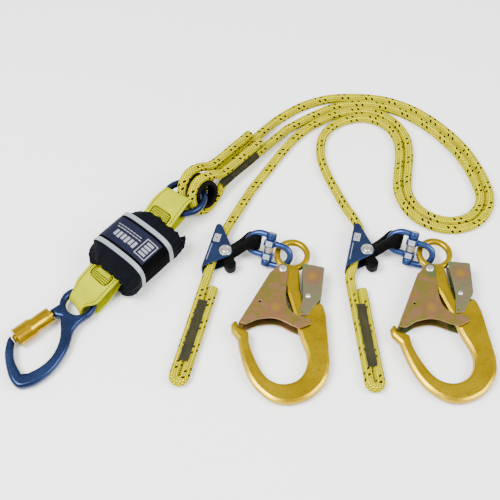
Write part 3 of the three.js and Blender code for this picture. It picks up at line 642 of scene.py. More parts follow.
SLEEVE_LABEL = plastic("sleeve_label", (0.013, 0.013, 0.008), 0.7)
FILM = clear_film()
COVER = cover_cloth()
BAND = plastic("black_band", (0.0002, 0.0002, 0.0003), 0.95, 1500)
REFLECTIVE = reflective()

# ---------------------------------------------------------------- camera

VIEW_TARGET = Vector((LAYOUT_SHIFT.x, LAYOUT_SHIFT.y, 0))
VIEW_DISTANCE = 1.3
VIEW_ELEVATION = math.radians(55)
LENS = 73.15


def camera():
    data = bpy.data.cameras.new("camera")
    data.lens = LENS
    data.sensor_width = 36
    obj = bpy.data.objects.new("camera", data)
    back = Vector((0, -math.cos(VIEW_ELEVATION), math.sin(VIEW_ELEVATION)))
    obj.location = VIEW_TARGET + back * VIEW_DISTANCE
    obj.rotation_euler = (math.pi / 2 - VIEW_ELEVATION, 0, 0)
    bpy.context.scene.collection.objects.link(obj)
    bpy.context.scene.camera = obj


camera()

# ---------------------------------------------------------------- free rope legs

ROPE_DIAMETER = 0.012
STRAND_SPACING = 0.0126
FLOOR_ROPE_HEIGHT = 0.0063

# The middle of the two legs where they run side by side, out over the arch and back.
PAIR_ROUTE = [
    (0.154, 0.2526), (0.186, 0.2485), (0.218, 0.235), (0.245, 0.2145), (0.268, 0.189),
    (0.287, 0.161), (0.300, 0.131), (0.308, 0.101), (0.310, 0.079), (0.304, 0.060),
    (0.291, 0.0445), (0.272, 0.036), (0.252, 0.0355), (0.232, 0.043), (0.215, 0.058),
    (0.205, 0.078), (0.2025, 0.098), (0.206, 0.126), (0.210, 0.156), (0.209, 0.180),
    (0.201, 0.201), (0.188, 0.216), (0.171, 0.225), (0.154, 0.2274),
]
LEG_OUT = {
    1: [(0.0503, 0.1983, 0.0072), (0.071, 0.2135, 0.0064), (0.093, 0.2276), (0.120, 0.241)],
    2: [(0.0322, 0.2104, 0.0072), (0.052, 0.228, 0.0064), (0.077, 0.2445), (0.112, 0.257)],
}
LEG_BACK = {
    1: [
        (0.120, 0.227), (0.094, 0.2125), (0.0715, 0.194), (0.056, 0.176), (0.040, 0.1525),
        (0.0234, 0.126), (0.004, 0.0955), (-0.013, 0.062, 0.008), (-0.0245, 0.038, 0.010),
        (-0.0325, 0.020, 0.0114), (-0.0386, 0.008, 0.0116), (-0.0442, -0.0118, 0.0116),
        (-0.0488, -0.0289, 0.0114), (-0.0519, -0.0396, 0.0092), (-0.054, -0.048, 0.008),
    ],
    2: [
        (0.1305, 0.2152), (0.1113, 0.2024), (0.0995, 0.183), (0.096, 0.156), (0.099, 0.134),
        (0.1065, 0.110), (0.1155, 0.087), (0.1245, 0.064, 0.0075), (0.1345, 0.042, 0.0102),
        (0.1404, 0.0244, 0.0116), (0.1383, 0.0095, 0.0116), (0.1343, -0.008, 0.0116),
        (0.1306, -0.024, 0.0115), (0.1276, -0.0367, 0.0102), (0.1244, -0.0476, 0.0082),
        (0.1248, -0.0549, 0.008),
    ],
}


def beside(route, distance):
    """The points beside a route, at a distance to its left."""
    points = []
    for i, (x, y) in enumerate(route):
        before = Vector(route[max(i - 1, 0)])
        after = Vector(route[min(i + 1, len(route) - 1)])
        along = (after - before).normalized()
        points.append((x - distance * along.y, y + distance * along.x))
    return points


def on_floor(point):
    """A place on a route, at the rope's resting height where the route gives none."""
    height = point[2] if len(point) > 2 else FLOOR_ROPE_HEIGHT
    return Vector((point[0], point[1], height)) + LAYOUT_SHIFT


def rope_leg(number, side):
    """One leg. Its side is -1 for the right of the pair's middle line and 1 for the left."""
    paired = beside(PAIR_ROUTE, side * STRAND_SPACING / 2)
    route = [on_floor(point) for point in (*LEG_OUT[number], *paired, *LEG_BACK[number])]
    path = smooth_path(route, 0.0025)
    leg = tube(f"free_leg_{number}", path, ROPE_DIAMETER / 2, ROPE, sides=20, scale=1 / MM)
    fitted(leg, "rope_legs", "rope", f"rope_leg_{number}")


rope_leg(1, -1)
rope_leg(2, 1)

# ---------------------------------------------------------------- spliced eyes

ROPE_RADIUS = 6.0
SPACING = 12.6  # between the middles of two strands side by side
THIMBLE_HOLE = 13.0
THIMBLE_WALL = 2.6
EYE_RADIUS = THIMBLE_HOLE + THIMBLE_WALL + 0.6 + ROPE_RADIUS
TAIL_LENGTH = 118.0
FILM_START = 46
FILM_RADIUS = ROPE_RADIUS + 1.6
MOUTH_FLARE = 0.5

SPLICES = {
    1: {"thimble": (-59.5, 70.6, 27), "exit": (49, 197, 7.2), "lean": 69},
    2: {"thimble": (-73.4, 82.6, 29.5), "exit": (31, 209, 7.2), "lean": 75},
}


def splice_placing(thimble, exit, lean):
    """A splice lies along x from its thimble's centre, with the tail on the +y side."""
    start = Vector(thimble)
    end = Vector(exit)
    along = (end - start).to_2d().normalized()
    angle = math.radians(lean)
    up = Vector((-along.y * math.cos(angle), along.x * math.cos(angle), math.sin(angle)))
    x_axis = end + up * SPACING / 2 - start
    length = x_axis.length
    x_axis.normalize()
    y_axis = (up - x_axis * up.dot(x_axis)).normalized()
    origin = start * MM + LAYOUT_SHIFT
    return placing(origin, x_axis, y_axis, x_axis.cross(y_axis)), length


def stadium(radius, x):
    """A section round two strands, in the plane across x."""
    ends = arc(0, SPACING / 2, radius, 0, 180, 9) + arc(0, -SPACING / 2, radius, 180, 360, 9)
    return [Vector((x, y, z)) for z, y in ends]


def wrinkled(ring, middle_point, share, rng):
    return [point + (point - middle_point) * rng.uniform(-share, share) for point in ring]


def doubled_film(name, stations, placed, ring_at, rng):
    """Clear film round two strands, with its mouths standing open a little."""
    rings = []
    for station in stations:
        flare = MOUTH_FLARE if station in (stations[0], stations[-1]) else 0
        ring, centre = ring_at(station, FILM_RADIUS + flare)
        rings.append(wrinkled(ring, centre, 0.012, rng))
    return loft(name, rings, FILM, placed, caps=False)


def spliced_eye(number, placed, length):
    """The rope comes in from the right, goes round the thimble and ends in a tail beside itself."""
    half = SPACING / 2
    points = [(length + 1.5, -half, 0), (length * 0.6, -half, 0)]
    points += [(FILM_START, -half, 0), (34, -half - 2, 0), (22, -15, 0)]
    points += [(x, y, 0) for x, y in arc(0, 0, EYE_RADIUS, 290, 70, 10)]
    points += [(22, 15, 0), (34, half + 2, 0), (FILM_START, half, 0), (90, half, 0), (TAIL_LENGTH, half, 0)]
    eye = tube(f"spliced_eye_{number}", smooth_path(points, 1.8), ROPE_RADIUS, ROPE, placed)
    fitted(eye, "rope_legs", "rope", f"rope_eye_{number}")


def eyelet(number, placed):
    """The grooved plastic thimble."""
    lip = THIMBLE_HOLE + THIMBLE_WALL + 3
    width = ROPE_RADIUS + 1.4
    groove = arc(THIMBLE_HOLE + THIMBLE_WALL + ROPE_RADIUS, 0, ROPE_RADIUS + 0.3, 242, 118, 8)
    profile = [(THIMBLE_HOLE, -width + 1), (THIMBLE_HOLE + 1, -width), (lip - 0.5, -width), *groove]
    profile += [(lip - 0.5, width), (THIMBLE_HOLE + 1, width), (THIMBLE_HOLE, width - 1)]
    obj = lathe(f"eyelet_{number}", profile, BLACK, placed, loop=True)
    fitted(obj, "rope_legs", "black_plastic", f"thimble_{number}")


def splice_film(number, placed, length):
    """Film round both strands, and a narrower one that runs on round the standing rope."""
    rng = random.Random(number)
    tail_end = TAIL_LENGTH + 3
    half = SPACING / 2

    def round_both(x, radius):
        return stadium(radius + rng.uniform(-0.15, 0.15), x), Vector((x, 0, 0))

    both = doubled_film("doubled", spaced(FILM_START, tail_end, 34), placed, round_both, rng)
    rings = []
    stations = spaced(tail_end - 6, length, 14)
    for x in stations:
        radius = FILM_RADIUS - 0.5 + (0.4 if x == stations[-1] else 0)
        ring = [Vector((x, y - half, z)) for y, z in circle(radius, sides=20)]
        rings.append(wrinkled(ring, Vector((x, -half, 0)), 0.015, rng))
    one = loft("single", rings, FILM, placed, caps=False)
    film = joined(f"splice_film_{number}", both, one)
    fitted(film, "rope_legs", "clear_sleeve", f"splice_sleeve_{number}")


def splice_strip(placed):
    """A label that lies on the upper side of the standing strand, with slightly uneven sides."""
    rng = random.Random(7)
    width = 12
    radius = ROPE_RADIUS + 0.45
    rings = []
    for x in spaced(0, 75, 26):
        reach = math.degrees(width / radius / 2) + rng.uniform(-2.5, 2.5)
        rings.append([Vector((x, y, z)) for z, y in arc(0, 0, radius, -reach, reach, 10)])
    turn = Matrix.Translation((28, -SPACING / 2, 0)) @ Matrix.Rotation(math.radians(-28), 4, "X")
    label = loft("splice_strip", rings, SLEEVE_LABEL, placed @ turn, closed=False)
    fitted(label, "rope_legs", "label_grey", "splice_label")


def splice(number):
    placed, length = splice_placing(**SPLICES[number])
    spliced_eye(number, placed, length)
    eyelet(number, placed)
    splice_film(number, placed, length)
    return placed


first_splice = splice(1)
splice(2)
splice_strip(first_splice)

# ---------------------------------------------------------------- sewn stops

STOP_LENGTH = 128.0
STOP_HEIGHT = 7.9
STOPS = {1: {"place": (-51.2, -62), "turn": -14.4}, 2: {"place": (132.3, -66.8), "turn": 5.9}}


def stop_placing(number):
    """A stop lies along -y: the standing part on the left, the folded tail on the right."""
    turn = math.radians(STOPS[number]["turn"])
    across = Vector((math.cos(turn), math.sin(turn), 0))
    place = Vector((*STOPS[number]["place"], STOP_HEIGHT)) * MM + LAYOUT_SHIFT
    return placing(place, across, UP.cross(across), UP)


def folded_rope(number, placed):
    half = SPACING / 2
    points = [(-half, 13, 0), (-half, 0, 0), (-half, -60, 0), (-half, -STOP_LENGTH + 8, 0)]
    points += [(x, y, 0) for x, y in arc(0, -STOP_LENGTH, half, 180, 360, 6)]
    points += [(half, -STOP_LENGTH + 8, 0), (half, -60, 0), (half, 0, 0)]
    rope = tube(f"folded_stop_{number}", smooth_path(points, 1.6), ROPE_RADIUS, ROPE, placed)
    fitted(rope, "rope_legs", "rope", f"stop_fold_{number}")


def stop_strip(number, placed, rng):
    """A label strip down the middle of the film, with ragged sides."""
    half_width = 5.9
    rings = []
    for y in spaced(-23, -110, 30):
        left = rng.uniform(-0.5, 0.5) - half_width
        right = rng.uniform(-0.5, 0.5) + half_width
        columns = (left, -3, 0, 3, right)
        rings.append([Vector((x, y, ROPE_RADIUS + 0.9 - 0.012 * (36 - x * x))) for x in columns])
    strip = loft(f"stop_strip_{number}", rings, SLEEVE_LABEL, placed, closed=False)
    fitted(strip, "rope_legs", "label_grey", f"stop_label_{number}")


def stop(number):
    placed = stop_placing(number)
    rng = random.Random(10 + number)

    def round_both(y, radius):
        ring = [Vector((-point.y, y, point.z)) for point in stadium(radius, 0)]
        return ring, Vector((0, y, 0))

    folded_rope(number, placed)
    stations = spaced(3, 2 - STOP_LENGTH, 44)
    film = doubled_film(f"stop_film_{number}", stations, placed, round_both, rng)
    fitted(film, "rope_legs", "clear_sleeve", f"stop_sleeve_{number}")
    stop_strip(number, placed, rng)


stop(1)
stop(2)

# ---------------------------------------------------------------- ring

ACROSS = joint_axis("ring_swing")
LANYARD_DIRECTION = ACROSS.cross(UP)
RING_RADIUS = 25.5
RING_BAR = 4.5
RING_HANG = Vector((-0.004, 0.006, 0))  # from the CAD ring to where the photo shows it


def ring():
    place = middle("ring") + RING_HANG
    placed = placing(place, LANYARD_DIRECTION, ACROSS, UP)
    profile = arc(RING_RADIUS, 0, RING_BAR, 0, 360, 20)[:-1]
    band = lathe("attachment_ring", profile, BLUE, placed, sides=72, loop=True)
    fitted(band, "ring", "blue_aluminium", "ring")


ring()

# ---------------------------------------------------------------- energy absorber

PACK_HALF_WIDTH = 41.0
PACK_HALF_HEIGHT = 24.0
CORNER_POWER = 3.4  # 2 would be an ellipse, and more is squarer
PACK_SIDES = 180
PACK = placing(middle("tear_webbing"), LANYARD_DIRECTION, ACROSS, UP)

# Along the cover: how wide and high it is as a share of the middle, and how deep its gathers are.
COVER_STATIONS = [
    (-43, 0.54, 0.24, 0.4), (-47, 0.57, 0.34, 1.0), (-51, 0.64, 0.48, 1.9), (-51.5, 0.73, 0.64, 2.3),
    (-49, 0.83, 0.78, 2.3), (-45, 0.92, 0.9, 2.0), (-39, 0.99, 0.99, 1.5), (-33, 1.0, 1.0, 0.4),
    (-27, 0.99, 0.99, 0.1), (-12, 1.0, 1.0, 0.1), (8, 1.0, 1.0, 0.1), (21, 0.99, 0.99, 0.1),
    (26, 0.99, 1.0, 0.4), (31, 0.97, 1.0, 1.3), (36, 0.92, 0.94, 1.8), (41, 0.85, 0.83, 2.2),
    (44.5, 0.76, 0.68, 2.4), (45.5, 0.67, 0.54, 2.0), (42, 0.58, 0.36, 1.0), (38, 0.54, 0.24, 0.4),
]
STEPS_BETWEEN_STATIONS = 5  # rings of the cover from one station to the next
COVER_MIDDLE = -3.0
COVER_LEAN = 7.0  # how far the cover's ends stand to one side
LEAN_REACH = 46
FLUTTER_START = 38  # beyond this from the middle, the edges run in and out
FLARE_START = 35  # beyond this, one corner stands out
FLARE_SLOPE = 1.1
FLARE_ANGLE = math.radians(202)
FLARE_SPREAD = 0.3
BAND_SHARE = 0.99
LABEL_GAP = 1.9


def pack_section(x, width, height, angle, grown=0.0):
    """A point on the absorber's rounded section, with its distance from the axis grown."""
    cosine = math.cos(angle)
    sine = math.sin(angle)
    reach = (abs(cosine) ** CORNER_POWER + abs(sine) ** CORNER_POWER) ** (-1 / CORNER_POWER)
    y = PACK_HALF_WIDTH * width * reach * cosine
    z = PACK_HALF_HEIGHT * height * reach * sine
    outward = Vector((0, y, z)).normalized() * grown
    return Vector((x, y, z)) + outward


def pack_ring(x, width, height, grown=0.0, ripple=None):
    """A closed section of the absorber. A ripple gives the extra growth at an angle."""
    ring = []
    for j in range(PACK_SIDES):
        angle = 2 * math.pi * j / PACK_SIDES
        extra = ripple(angle) if ripple else 0
        ring.append(pack_section(x, width, height, angle, grown + extra))
    return ring


def flutter(ring, x, depth, phases):
    """Moves an end ring's points along the pack, so that the cloth's edge is uneven."""
    for j, point in enumerate(ring):
        angle = 2 * math.pi * j / len(ring)
        swing = math.sin(6 * angle + phases[0]) + 0.7 * math.sin(13 * angle + phases[1])
        point.x += math.copysign(0.7 * depth * swing, x)
        if x > 0:
            off = (angle - FLARE_ANGLE) / FLARE_SPREAD
            point.x += (x - FLARE_START) * FLARE_SLOPE * math.exp(-off * off)


def gathered_cover():
    """The cloth cover, drawn in at both ends with folds that run along it."""
    rng = random.Random(11)
    waves = [(count, rng.uniform(0, 6.28), rng.uniform(-0.05, 0.05)) for count in (4, 7, 11, 17, 26)]
    last_span = len(COVER_STATIONS) - 2
    rings = []
    for i in range((last_span + 1) * STEPS_BETWEEN_STATIONS + 1):
        span = min(i // STEPS_BETWEEN_STATIONS, last_span)
        share = i / STEPS_BETWEEN_STATIONS - span
        before = COVER_STATIONS[span]
        after = COVER_STATIONS[span + 1]
        soft = share * share * (3 - 2 * share)
        x = before[0] + (after[0] - before[0]) * share
        width, height, depth = (before[k] + (after[k] - before[k]) * soft for k in (1, 2, 3))

        def gather(angle, x=x, depth=depth):
            total = 0
            for k, (count, phase, lean) in enumerate(waves):
                total += math.sin(count * angle + phase + lean * x) / (1 + 0.45 * k)
            return depth * 0.7 * total

        ring = pack_ring(x, width, height, ripple=gather)
        from_middle = abs(x - COVER_MIDDLE)
        for point in ring:
            point.y -= COVER_LEAN * min(from_middle / LEAN_REACH, 1) ** 3
        if from_middle > FLUTTER_START:
            flutter(ring, x, depth, (waves[0][1], waves[1][1]))
        rings.append(ring)
    cover = loft("gathered_cover", rings, COVER, PACK, caps=False, angle=80)
    fitted(cover, "absorber", "navy_fabric", "absorber_cover")


def band(name, node, low, high, grown, thickness, material, slot):
    """A closed band round the cover, from one place along it to another."""
    crown = ((low + high) / 2, thickness + 0.15)
    profile = [(low, 0), (low + 0.4, thickness), crown, (high - 0.4, thickness), (high, 0)]
    rings = [pack_ring(x, BAND_SHARE, BAND_SHARE, grown + up) for x, up in profile]
    obj = loft(name, rings, material, PACK, caps=False, angle=60)
    fitted(obj, "absorber", slot, node)


def label_marks():
    """A bordered square of plain bars, a row of blocks and two dashed lines."""
    marks = [(2, 20, -16, -14.8), (2, 20, 8.8, 10), (2, 3.2, -16, 10), (18.8, 20, -16, 10)]
    marks += [(6, 16, low, low + 3.4) for low in (-12.4, -7.2, -2.0, 3.2)]
    marks += [(24 + 6.2 * i, 28.2 + 6.2 * i, -13 + 0.9 * (i % 2), -3.4) for i in range(6)]
    marks += [(24 + 5.1 * i, 28 + 5.1 * i, 0.4, 1.6) for i in range(8)]
    marks += [(26 + 5.1 * i, 30 + 5.1 * i, 4.2, 5.2) for i in range(8)]
    return marks


def pack_label():
    """The label starts on the band's top and runs down its far side. Its map is in millimetres."""

    def on_pack(x, angle):
        return pack_section(x, BAND_SHARE, BAND_SHARE, angle, LABEL_GAP)

    angles = [math.radians(angle) for angle in spaced(136, -10, 74)]
    columns = spaced(-21, 15, 16)
    rings = [[on_pack(x, angle) for x in columns] for angle in angles]
    down = distances([on_pack(0, angle) for angle in angles])
    material = printed_label("pack_label", (0.0035, 0.0045, 0.02), (0.22, 0.23, 0.25), label_marks())
    label = loft("pack_label", rings, material, PACK, u=down, v=columns, closed=False)
    fitted(label, "absorber", "label_blue", "absorber_label")


gathered_cover()
band("black_wrap", "centre_band", -24, 19, 0.6, 0.8, BAND, "black_plastic")
for end, low, high in (("lower", -30.4, -24), ("upper", 19, 25.4)):
    strip = f"reflective_strip_{end}"
    band(strip, f"reflective_band_{end}", low, high, 0.8, 1.0, REFLECTIVE, "reflective_tape")
pack_label()
repaint("tear_webbing", sewn_webbing("tear_webbing_yellow"))

# ---------------------------------------------------------------- webbing loops

WEBBING_HALF = 22.0
WEBBING_THICKNESS = 2.2


def fold(x, z, radius, side):
    """Points of a half circle that joins the upper ply to the lower one."""
    angles = [math.pi * i / 8 for i in range(9)]
    return [(x + side * radius * math.sin(a), z + radius * math.cos(a)) for a in angles]


def ribbon(name, node, path, material, half_width, curl, skew, aside):
    """Webbing that runs in the plane x-z of the absorber. The last four are functions of x.

    curl lifts the edges off the inside of the loop, skew slants the rows and aside moves them."""
    points = smooth_path([(x, 0, z) for x, z in path], 1.6)
    columns = spaced(-1, 1, 17)
    rings = []
    for point, tangent in zip(points, directions(points)):
        outward = Vector((-tangent.z, 0, tangent.x))
        half = half_width(point.x)
        ring = []
        for side in (1, -1):
            for across in columns[::side]:
                shift = Vector((skew(point.x) * across * half, across * half + aside(point.x), 0))
                lift = curl(point.x) * across * across + side * WEBBING_THICKNESS / 2
                ring.append(point + shift + outward * lift)
        rings.append(ring)
    v = [*columns, *columns[::-1], columns[0]]
    obj = loft(name, rings, material, PACK, u=distances(points), v=v, angle=50)
    fitted(obj, "absorber", "webbing", node)


def eased(x, start, end, before, after):
    """Goes smoothly from one value to another between two places."""
    t = min(max((x - start) / (end - start), 0), 1)
    return before + (after - before) * t * t * (3 - 2 * t)


def webbing_loops():
    # Upper loop: out over the ring's near bar and back below it.
    upper = [(36, 5), (47, 9), (60, 12.4), (74, 13.4), *fold(87, 4.6, 8.6, 1)]
    upper += [(72, -4.6), (60, -4), (50, -3), (36, -4)]
    ribbon(
        "ring_webbing", "upper_webbing_loop", upper,
        sewn_webbing("ring_webbing_yellow", seam=(14, 62), tack=(9, 26)),
        half_width=lambda x: eased(x, 60, 96, WEBBING_HALF, 19.5),
        curl=lambda x: eased(x, 60, 92, 0, 0.6),
        skew=lambda x: -eased(x, 46, 90, 0, 0.16),
        aside=lambda x: eased(x, 30, 90, 4, 10),
    )
    # Lower loop: out over the karabiner's eye, down through it and back below.
    lower = [(-36, 3.5), (-47, 4), (-58, 3.4), (-70, 1), (-80, -2), *fold(-94, -11.6, 8.8, -1)]
    lower += [(-80, -20.6), (-69, -18.4), (-58, -12), (-48, -6), (-36, -4)]
    ribbon(
        "karabiner_webbing", "lower_webbing_loop", lower,
        sewn_webbing("karabiner_webbing_yellow", seam=(14, 62), tack=(13, 30)),
        half_width=lambda x: eased(-x, 80, 101, WEBBING_HALF, 12.6),
        curl=lambda x: -eased(-x, 72, 96, 0, 1.6),
        skew=lambda x: eased(-x, 50, 92, 0, 0.26),
        aside=lambda x: 0,
    )


webbing_loops()

# ---------------------------------------------------------------- karabiner

GATE_PIVOT = (-18.5, -17.5)
GATE_START = Vector((-23.6, -24.3, 0))
GATE_DIRECTION = Vector((-0.4376, -0.8992, 0))
SLEEVE_LENGTH = 50.5
KARABINER_HALF = 5.5


def hung_frame(pivot, x_axis, normal, pivot_place):
    """The placing of a piece whose joint sits at the given point of its own drawing."""
    y_axis = normal.cross(x_axis)
    x, y = pivot_place
    return placing(pivot - (x_axis * x + y_axis * y) * MM, x_axis, y_axis, normal)


KARABINER = hung_frame(
    joint_place("gate_turn"), -joint_axis("karabiner_swing"), joint_axis("gate_turn"), GATE_PIVOT
)


def karabiner():
    """The frame: round its eye, down the spine to the nose, and back along the inside."""
    spine = [(13.4, -24), (12.8, -35), (15.4, -46), (17.4, -57), (17.7, -71), (15.6, -87), (10.6, -102)]
    bottom = [(2, -115.5), (-11, -124.4), (-23.5, -120.5), (-35, -110), (-47, -94), (-53, -78.5)]
    nose = [(-44.6, -75.4), (-38.5, -87.3), (-31, -97.3), (-16.5, -108)]
    inner_spine = [(-9.4, -103.5), (-1.2, -91.5), (4.2, -76.5), (4.6, -61.5), (1.8, -48.5)]
    outline = [
        (-26.5, -20.5),
        *arc(0, 0.6, 22.8, 206, -36, 60),
        *smooth([*spine, *bottom, (-53.6, -71)]),
        *smooth(nose),
        *smooth([*inner_spine, (-3.2, -37.5), (-10.5, -24.5)]),
        (-16.6, -26.4),
    ]
    body = plate(
        "karabiner_frame", outline, -KARABINER_HALF, KARABINER_HALF, BLUE, KARABINER,
        holes=[circle(14.5)[::-1]], edge=4.2, turns=6,
    )
    fitted(body, "karabiner", "blue_aluminium", "karabiner_body")


def along_gate():
    """The placing of a piece turned about the gate's axis, which is its z."""
    side = Vector((GATE_DIRECTION.y, -GATE_DIRECTION.x, 0))
    turn = Matrix((UP, side, GATE_DIRECTION)).transposed().to_4x4()
    return KARABINER @ Matrix.Translation(GATE_START) @ turn


def twist_gate(placed):
    """The gate's barrel with its tip, and the flat tongue at its pivot."""
    end = SLEEVE_LENGTH + 3.6
    foot = [(0, -3), (2.5, -3), (4.6, -1), (4.8, 0), (4.8, end - 3.4)]
    tip = [(5.6, end - 3), (5.6, end - 1.6), (4.6, end - 0.6), (3.6, end), (0, end)]
    barrel = lathe("gate_barrel", [*foot, *tip], GOLD, placed, angle=30)
    outline = rounded([(-22.4, -13.6), (-14.4, -17.6), (-22.6, -29), (-28, -25)], 3)
    tongue = plate("gate_tongue", outline, -2.6, 2.6, GOLD, KARABINER, edge=0.4)
    gate = joined("twist_gate", barrel, tongue)
    fitted(gate, "karabiner_gate", "gold_aluminium", "karabiner_gate")


def twist_sleeve(placed):
    """The turning sleeve, with one groove near its foot and grip ridges past its waist."""
    waist = 27
    foot = [(5.1, 0.8), (9.4, 0.8), (10.2, 1.6), (10.2, 5), (9.8, 5.3), (9.8, 6), (10.2, 6.3)]
    ridges = []
    for i in range(9):
        start = waist + 4.5 + 1.9 * i
        ridges += [(12.2, start), (11.9, start + 0.35), (11.9, start + 0.75), (12.2, start + 1.1)]
    mouth = [(12.2, SLEEVE_LENGTH - 0.9), (11.4, SLEEVE_LENGTH), (5.1, SLEEVE_LENGTH)]
    profile = [*foot, (10.2, waist - 3), (12.2, waist + 2), *ridges, *mouth]
    sleeve = lathe("twist_sleeve", profile, GOLD, placed, sides=72, loop=True, angle=25)
    fitted(sleeve, "karabiner_sleeve", "gold_aluminium", "karabiner_sleeve")


karabiner()
twist_gate(along_gate())
twist_sleeve(along_gate())

# ---------------------------------------------------------------- rope adjusters

ADJUSTER_HALF = 10.0
PLATE = 1.6


def facing(side, height, x=0.0, y=0.0):
    """Sets a turned part on a plate's face: the upper one for side 1, the lower one for -1."""
    return Matrix.Translation((x, y, side * height)) @ Matrix.Diagonal((1, 1, side, 1))


def dome(radius, height, placed):
    """A low round rivet head."""
    steps = [(1, 0), (1, 0.25), (0.93, 0.55), (0.7, 0.85), (0.35, 1), (0, 1)]
    profile = [(0, 0), *((radius * across, height * up) for across, up in steps)]
    return lathe("head", profile, STEEL, placed, sides=32, angle=50)


def flat_print(name, outline, height, ground, ink, marks, placed, side=1):
    """A printed patch on a flat face. Its map is its own x and y in millimetres."""
    made = bmesh.new()
    layer = made.loops.layers.uv.new("UVMap")
    face = made.faces.new([made.verts.new((x, y, side * height)) for x, y in outline[::side]])
    for corner in face.loops:
        corner[layer].uv = corner.vert.co.xy
    mesh = bpy.data.meshes.new(name)
    made.to_mesh(mesh)
    made.free()
    return finished(name, mesh, printed_label(name, ground, ink, marks), placed)


def housing(number, placed):
    """Two side plates joined by a wall that bends round from one to the other."""
    inner = ADJUSTER_HALF - PLATE
    outline = [(-21.5, -31), *arc(-18.2, 34, 4.2, 180, 27, 12), *arc(0, 0, 9.6, 27, -58, 16)]
    plates = leaves(outline, inner, ADJUSTER_HALF, ADJUSTER_BLUE, placed, edge=0.8)
    bend = 3.5
    height = ADJUSTER_HALF - bend
    outside = arc(-19, height, bend, 90, 180, 6) + arc(-19, -height, bend, 180, 270, 6)
    inside = arc(-19, -height, bend - PLATE, 270, 180, 6) + arc(-19, height, bend - PLATE, 180, 90, 6)
    rings = [[Vector((x, y, z)) for x, z in outside + inside] for y in (-30, 26)]
    wall = loft("wall", rings, ADJUSTER_BLUE, placed, angle=30)
    obj = joined(f"rope_adjuster_{number}", *plates, wall)
    fitted(obj, f"adjuster_{number}", "blue_aluminium", f"adjuster_housing_{number}")


def cam_rivet(number, placed):
    """A washer and a head on each side of the housing."""
    washer = [(4, 0), (7.9, 0), (7.9, 0.6), (7.4, 1), (6.2, 1), (5.5, 0.3), (4, 0.3)]
    parts = []
    for side in (1, -1):
        on_plate = placed @ facing(side, ADJUSTER_HALF + 0.1)
        parts.append(lathe("washer", washer, STEEL, on_plate, sides=40, loop=True, angle=30))
        parts.append(dome(4.9, 2, placed @ facing(side, ADJUSTER_HALF + 0.4)))
    obj = joined(f"cam_rivet_{number}", *parts)
    fitted(obj, f"adjuster_{number}", "steel", f"adjuster_rivet_{number}")


def adjuster_prints(number, placed):
    """A bordered badge with a block in it, and a dashed line, on the upper plate."""
    top = ADJUSTER_HALF + 0.03
    corners = rounded([(-19.4, 10), (-11.4, 10), (-11.4, 22), (-19.4, 22)], 0.8)
    marks = [(-18.4, -12.4, 11.2, 12), (-18.4, -12.4, 20, 20.8), (-16.4, -14.4, 13.8, 18.2)]
    marks += [(low, low + 0.8, 11.2, 20.8) for low in (-18.4, -13.2)]
    grey = (0.36, 0.37, 0.38)
    badge = flat_print(f"adjuster_badge_{number}", corners, top, grey, (0.08, 0.09, 0.12), marks, placed)
    corners = [(-19.2, -20), (-18.4, -20), (-18.4, 6), (-19.2, 6)]
    dashes = [(-20, -18, -20 + 3.4 * i, -19.2 + 3.4 * i) for i in range(8)]
    pale = (0.3, 0.32, 0.36)
    line = flat_print(f"adjuster_line_{number}", corners, top, pale, (0.03, 0.05, 0.12), dashes, placed)
    for piece in (badge, line):
        fitted(piece, f"adjuster_{number}", "label_grey")


def adjuster(number):
    y_axis = joint_axis(f"adjuster_slide_{number}")
    placed = placing(joint_place(f"cam_turn_{number}"), y_axis.cross(UP), y_axis, UP)
    housing(number, placed)
    cam_rivet(number, placed)
    adjuster_prints(number, placed)


adjuster(1)
adjuster(2)

# ---------------------------------------------------------------- coupling links and cams

LINK_REACH = 28.5
LINK_BAR = 4.0
ON_Y = Matrix.Rotation(math.radians(-90), 4, "X")  # turns a lathe's axis from z to y


def link_placing(number):
    y_axis = -joint_axis(f"link_fold_{number}")
    x_axis = y_axis.cross(UP).normalized()
    return placing(joint_place(f"link_fold_{number}"), x_axis, y_axis, x_axis.cross(y_axis))


def half_link(name, body, placed):
    """A bar bent from the block at one end of the fold pin round to a lug at its other end."""
    far = [(-8, 18.4, 0), (-17, 17.6, 0), (-25, 12.4, 0), (-LINK_REACH, 4.5, 0)]
    near = [(-26.4, -3.2, 0), (-19.5, -7.8, 0), (-10, -8.7, 0), (0, -8.7, 0)]
    bar = tube("bar", smooth_path([(0, 17.5, 0), *far, *near], 1.2), LINK_BAR, LINK_BLUE, placed)
    low, high = 13.3, 21.8
    rim = [(5.2, 0), (6.18, 0.42), (6.6, 1.4)]
    profile = [(0, low), *((radius, low + up) for radius, up in rim)]
    profile += [*((radius, high - up) for radius, up in rim[::-1]), (0, high)]
    lug = lathe("lug", profile, LINK_BLUE, placed @ ON_Y, angle=60)
    corners = rounded([(-7.2, -7.2), (7.2, -7.2), (7.2, 7.2), (-7.2, 7.2)], 3)
    link_block = plate("block", corners, -12.9, -4.4, LINK_BLUE, placed @ ON_Y, edge=1.6, angle=60)
    fitted(joined(name, bar, lug, link_block), body, "blue_forging", body)

    corners = rounded([(-4, -11.9), (4, -11.9), (4, -5.4), (-4, -5.4)], 0.6)
    style = {"ground": (0.36, 0.38, 0.42), "ink": (0.2, 0.22, 0.26), "marks": [(-2, 2, -9.5, -8)]}
    flats = [flat_print("flat", corners, 7.26, placed=placed, side=side, **style) for side in (1, -1)]
    fitted(joined(f"{name}_flats", *flats), body, "label_grey")


